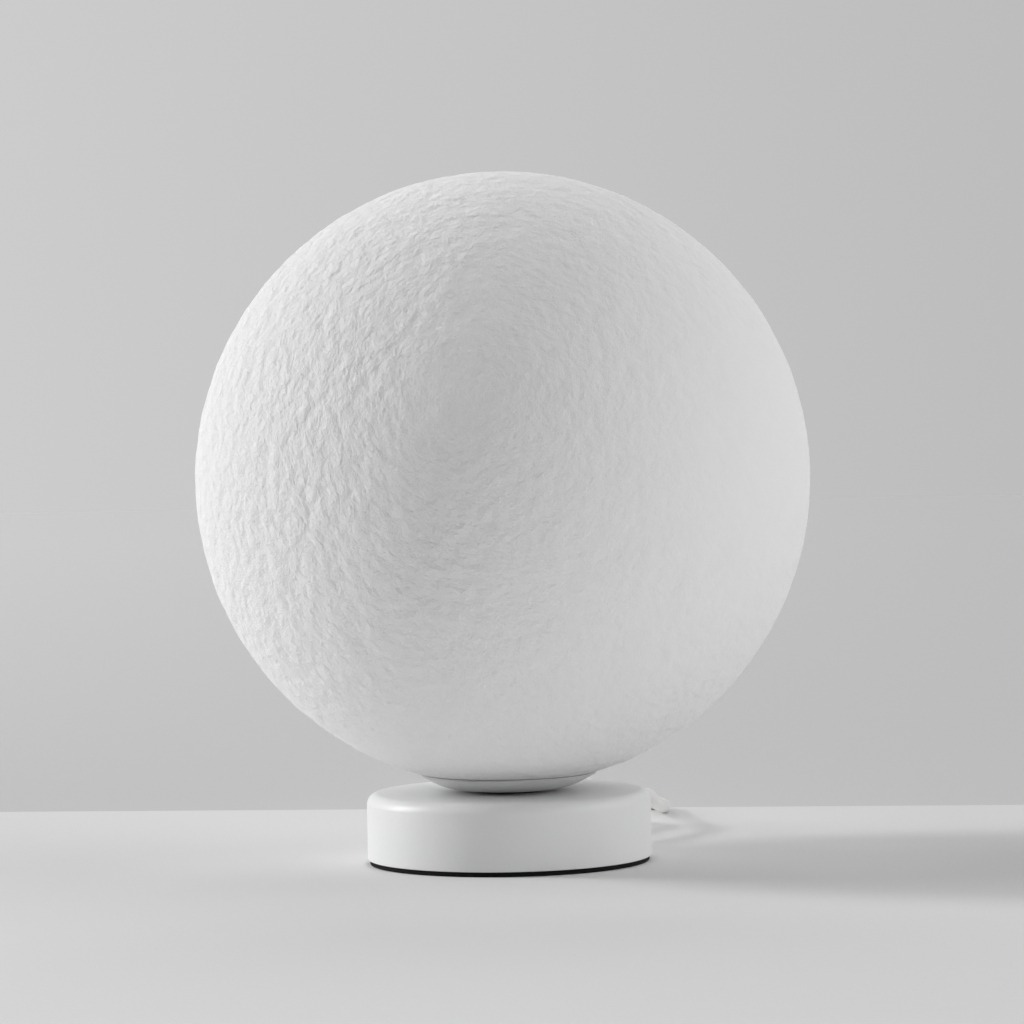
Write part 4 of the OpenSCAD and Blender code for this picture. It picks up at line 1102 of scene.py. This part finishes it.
def floor_surface():
    """The pale table with its painted light falloff from left to right, and past its back edge the
    wall's grey with its painted light falloff.
    """
    material, tree, shader = new_material("floor")
    place = add_node(tree, "ShaderNodeSeparateXYZ", {0: object_place(tree)})
    x, y = place.outputs["X"], place.outputs["Y"]
    edge = calculate(tree, "MULTIPLY_ADD", x, -TABLE_BACK_SLOPE, y)
    past = map_range(tree, edge, (TABLE_BACK - TABLE_EDGE_SOFT, TABLE_BACK + TABLE_EDGE_SOFT), (0, 1))
    # Painted light falloff: the table's colour goes from lighter on the left to darker on the right
    table = map_range(tree, x, (-TABLE_PAINTED_FALLOFF_AT, TABLE_PAINTED_FALLOFF_AT), TABLE_PAINTED_FALLOFF)
    reach = calculate(tree, "ADD", y, -CAMERA_AT[1])
    sideways = calculate(tree, "DIVIDE", x, reach)
    far, near = 1 / (WALL_FAR - CAMERA_AT[1]), 1 / (TABLE_BACK - CAMERA_AT[1])
    lowness = map_range(tree, calculate(tree, "DIVIDE", 1.0, reach), (far, near), (0, 1))
    # The wall's greys with painted light falloff, scaled so that they come out as written under the
    # lights
    upper, lower = [wall_painted_falloff(tree, sideways, greys, 1 / FLOOR_LIGHT)
                    for greys in (WALL_PAINTED_FALLOFF, WALL_PAINTED_FALLOFF_LOW)]
    tone = mix_numbers(tree, past, table, mix_numbers(tree, lowness, upper, lower))
    color = mix_numbers(tree, seen_directly(tree), FLOOR_BOUNCE, tone)
    tree.links.new(color, shader.inputs["Base Color"])
    shader.inputs["Roughness"].default_value = 0.8
    shader.inputs["Specular IOR Level"].default_value = 0.0
    return material


def make_floor():
    half = FLOOR_SIZE / 2
    points = [(-half, -half, 0), (half, -half, 0), (half, half, 0), (-half, half, 0)]
    floor = mesh_object("floor", points, [[0, 1, 2, 3]])
    floor.data.materials.append(floor_surface())


def make_world():
    """A dim white world for light, which shows the wall's grey with its painted light falloff where it
    is seen.
    """
    world = bpy.data.worlds.new("world")
    bpy.context.scene.world = world
    world.use_nodes = True
    tree = world.node_tree
    light = tree.nodes["Background"]
    light.inputs["Color"].default_value = (1, 1, 1, 1)
    light.inputs["Strength"].default_value = AMBIENT
    sight = add_node(tree, "ShaderNodeTexCoord").outputs["Generated"]
    split = add_node(tree, "ShaderNodeSeparateXYZ", {0: sight})
    depth = calculate(tree, "MAXIMUM", split.outputs["Y"], LEAST_DEPTH)
    sideways = calculate(tree, "DIVIDE", split.outputs["X"], depth)
    # The wall's greys with painted light falloff, lighter on the left
    seen = add_node(tree, "ShaderNodeBackground", {"Color": wall_painted_falloff(tree, sideways, WALL_PAINTED_FALLOFF)})
    mix = add_node(tree, "ShaderNodeMixShader",
                   {0: seen_directly(tree), 1: light.outputs[0], 2: seen.outputs[0]})
    tree.links.new(mix.outputs[0], tree.nodes["World Output"].inputs["Surface"])


def make_lights():
    for name, source, strength, angle in SUNS:
        data = bpy.data.lights.new(name, "SUN")
        data.energy = strength
        data.angle = math.radians(angle)
        lamp = bpy.data.objects.new(name, data)
        lamp.rotation_euler = Vector(source).to_track_quat("Z", "Y").to_euler()
        bpy.context.scene.collection.objects.link(lamp)


def finish_cad_nodes():
    """Every CAD node takes the material of its slot in the record."""
    for subpart in frame["record"]["subparts"]:
        node = frame["nodes"][subpart["node"]]
        node.data.materials.clear()
        node.data.materials.append(MATERIALS[subpart["material_slot"]])


bpy.context.scene.view_settings.view_transform = "Standard"
make_camera()
MATERIALS = record_materials()
finish_cad_nodes()
switch_lead, coiled_lead = make_cords()
make_globe()
make_dish()
make_washer()
make_housing()
make_mat()
make_cup()
make_holder_cap()
make_holder_body()
make_bulb()
strain_relief = make_strain_relief()
tie = make_tie()
plug = make_plug()
make_switch_base()
make_switch_cover()
make_rocker()
make_floor()
make_world()
make_lights()
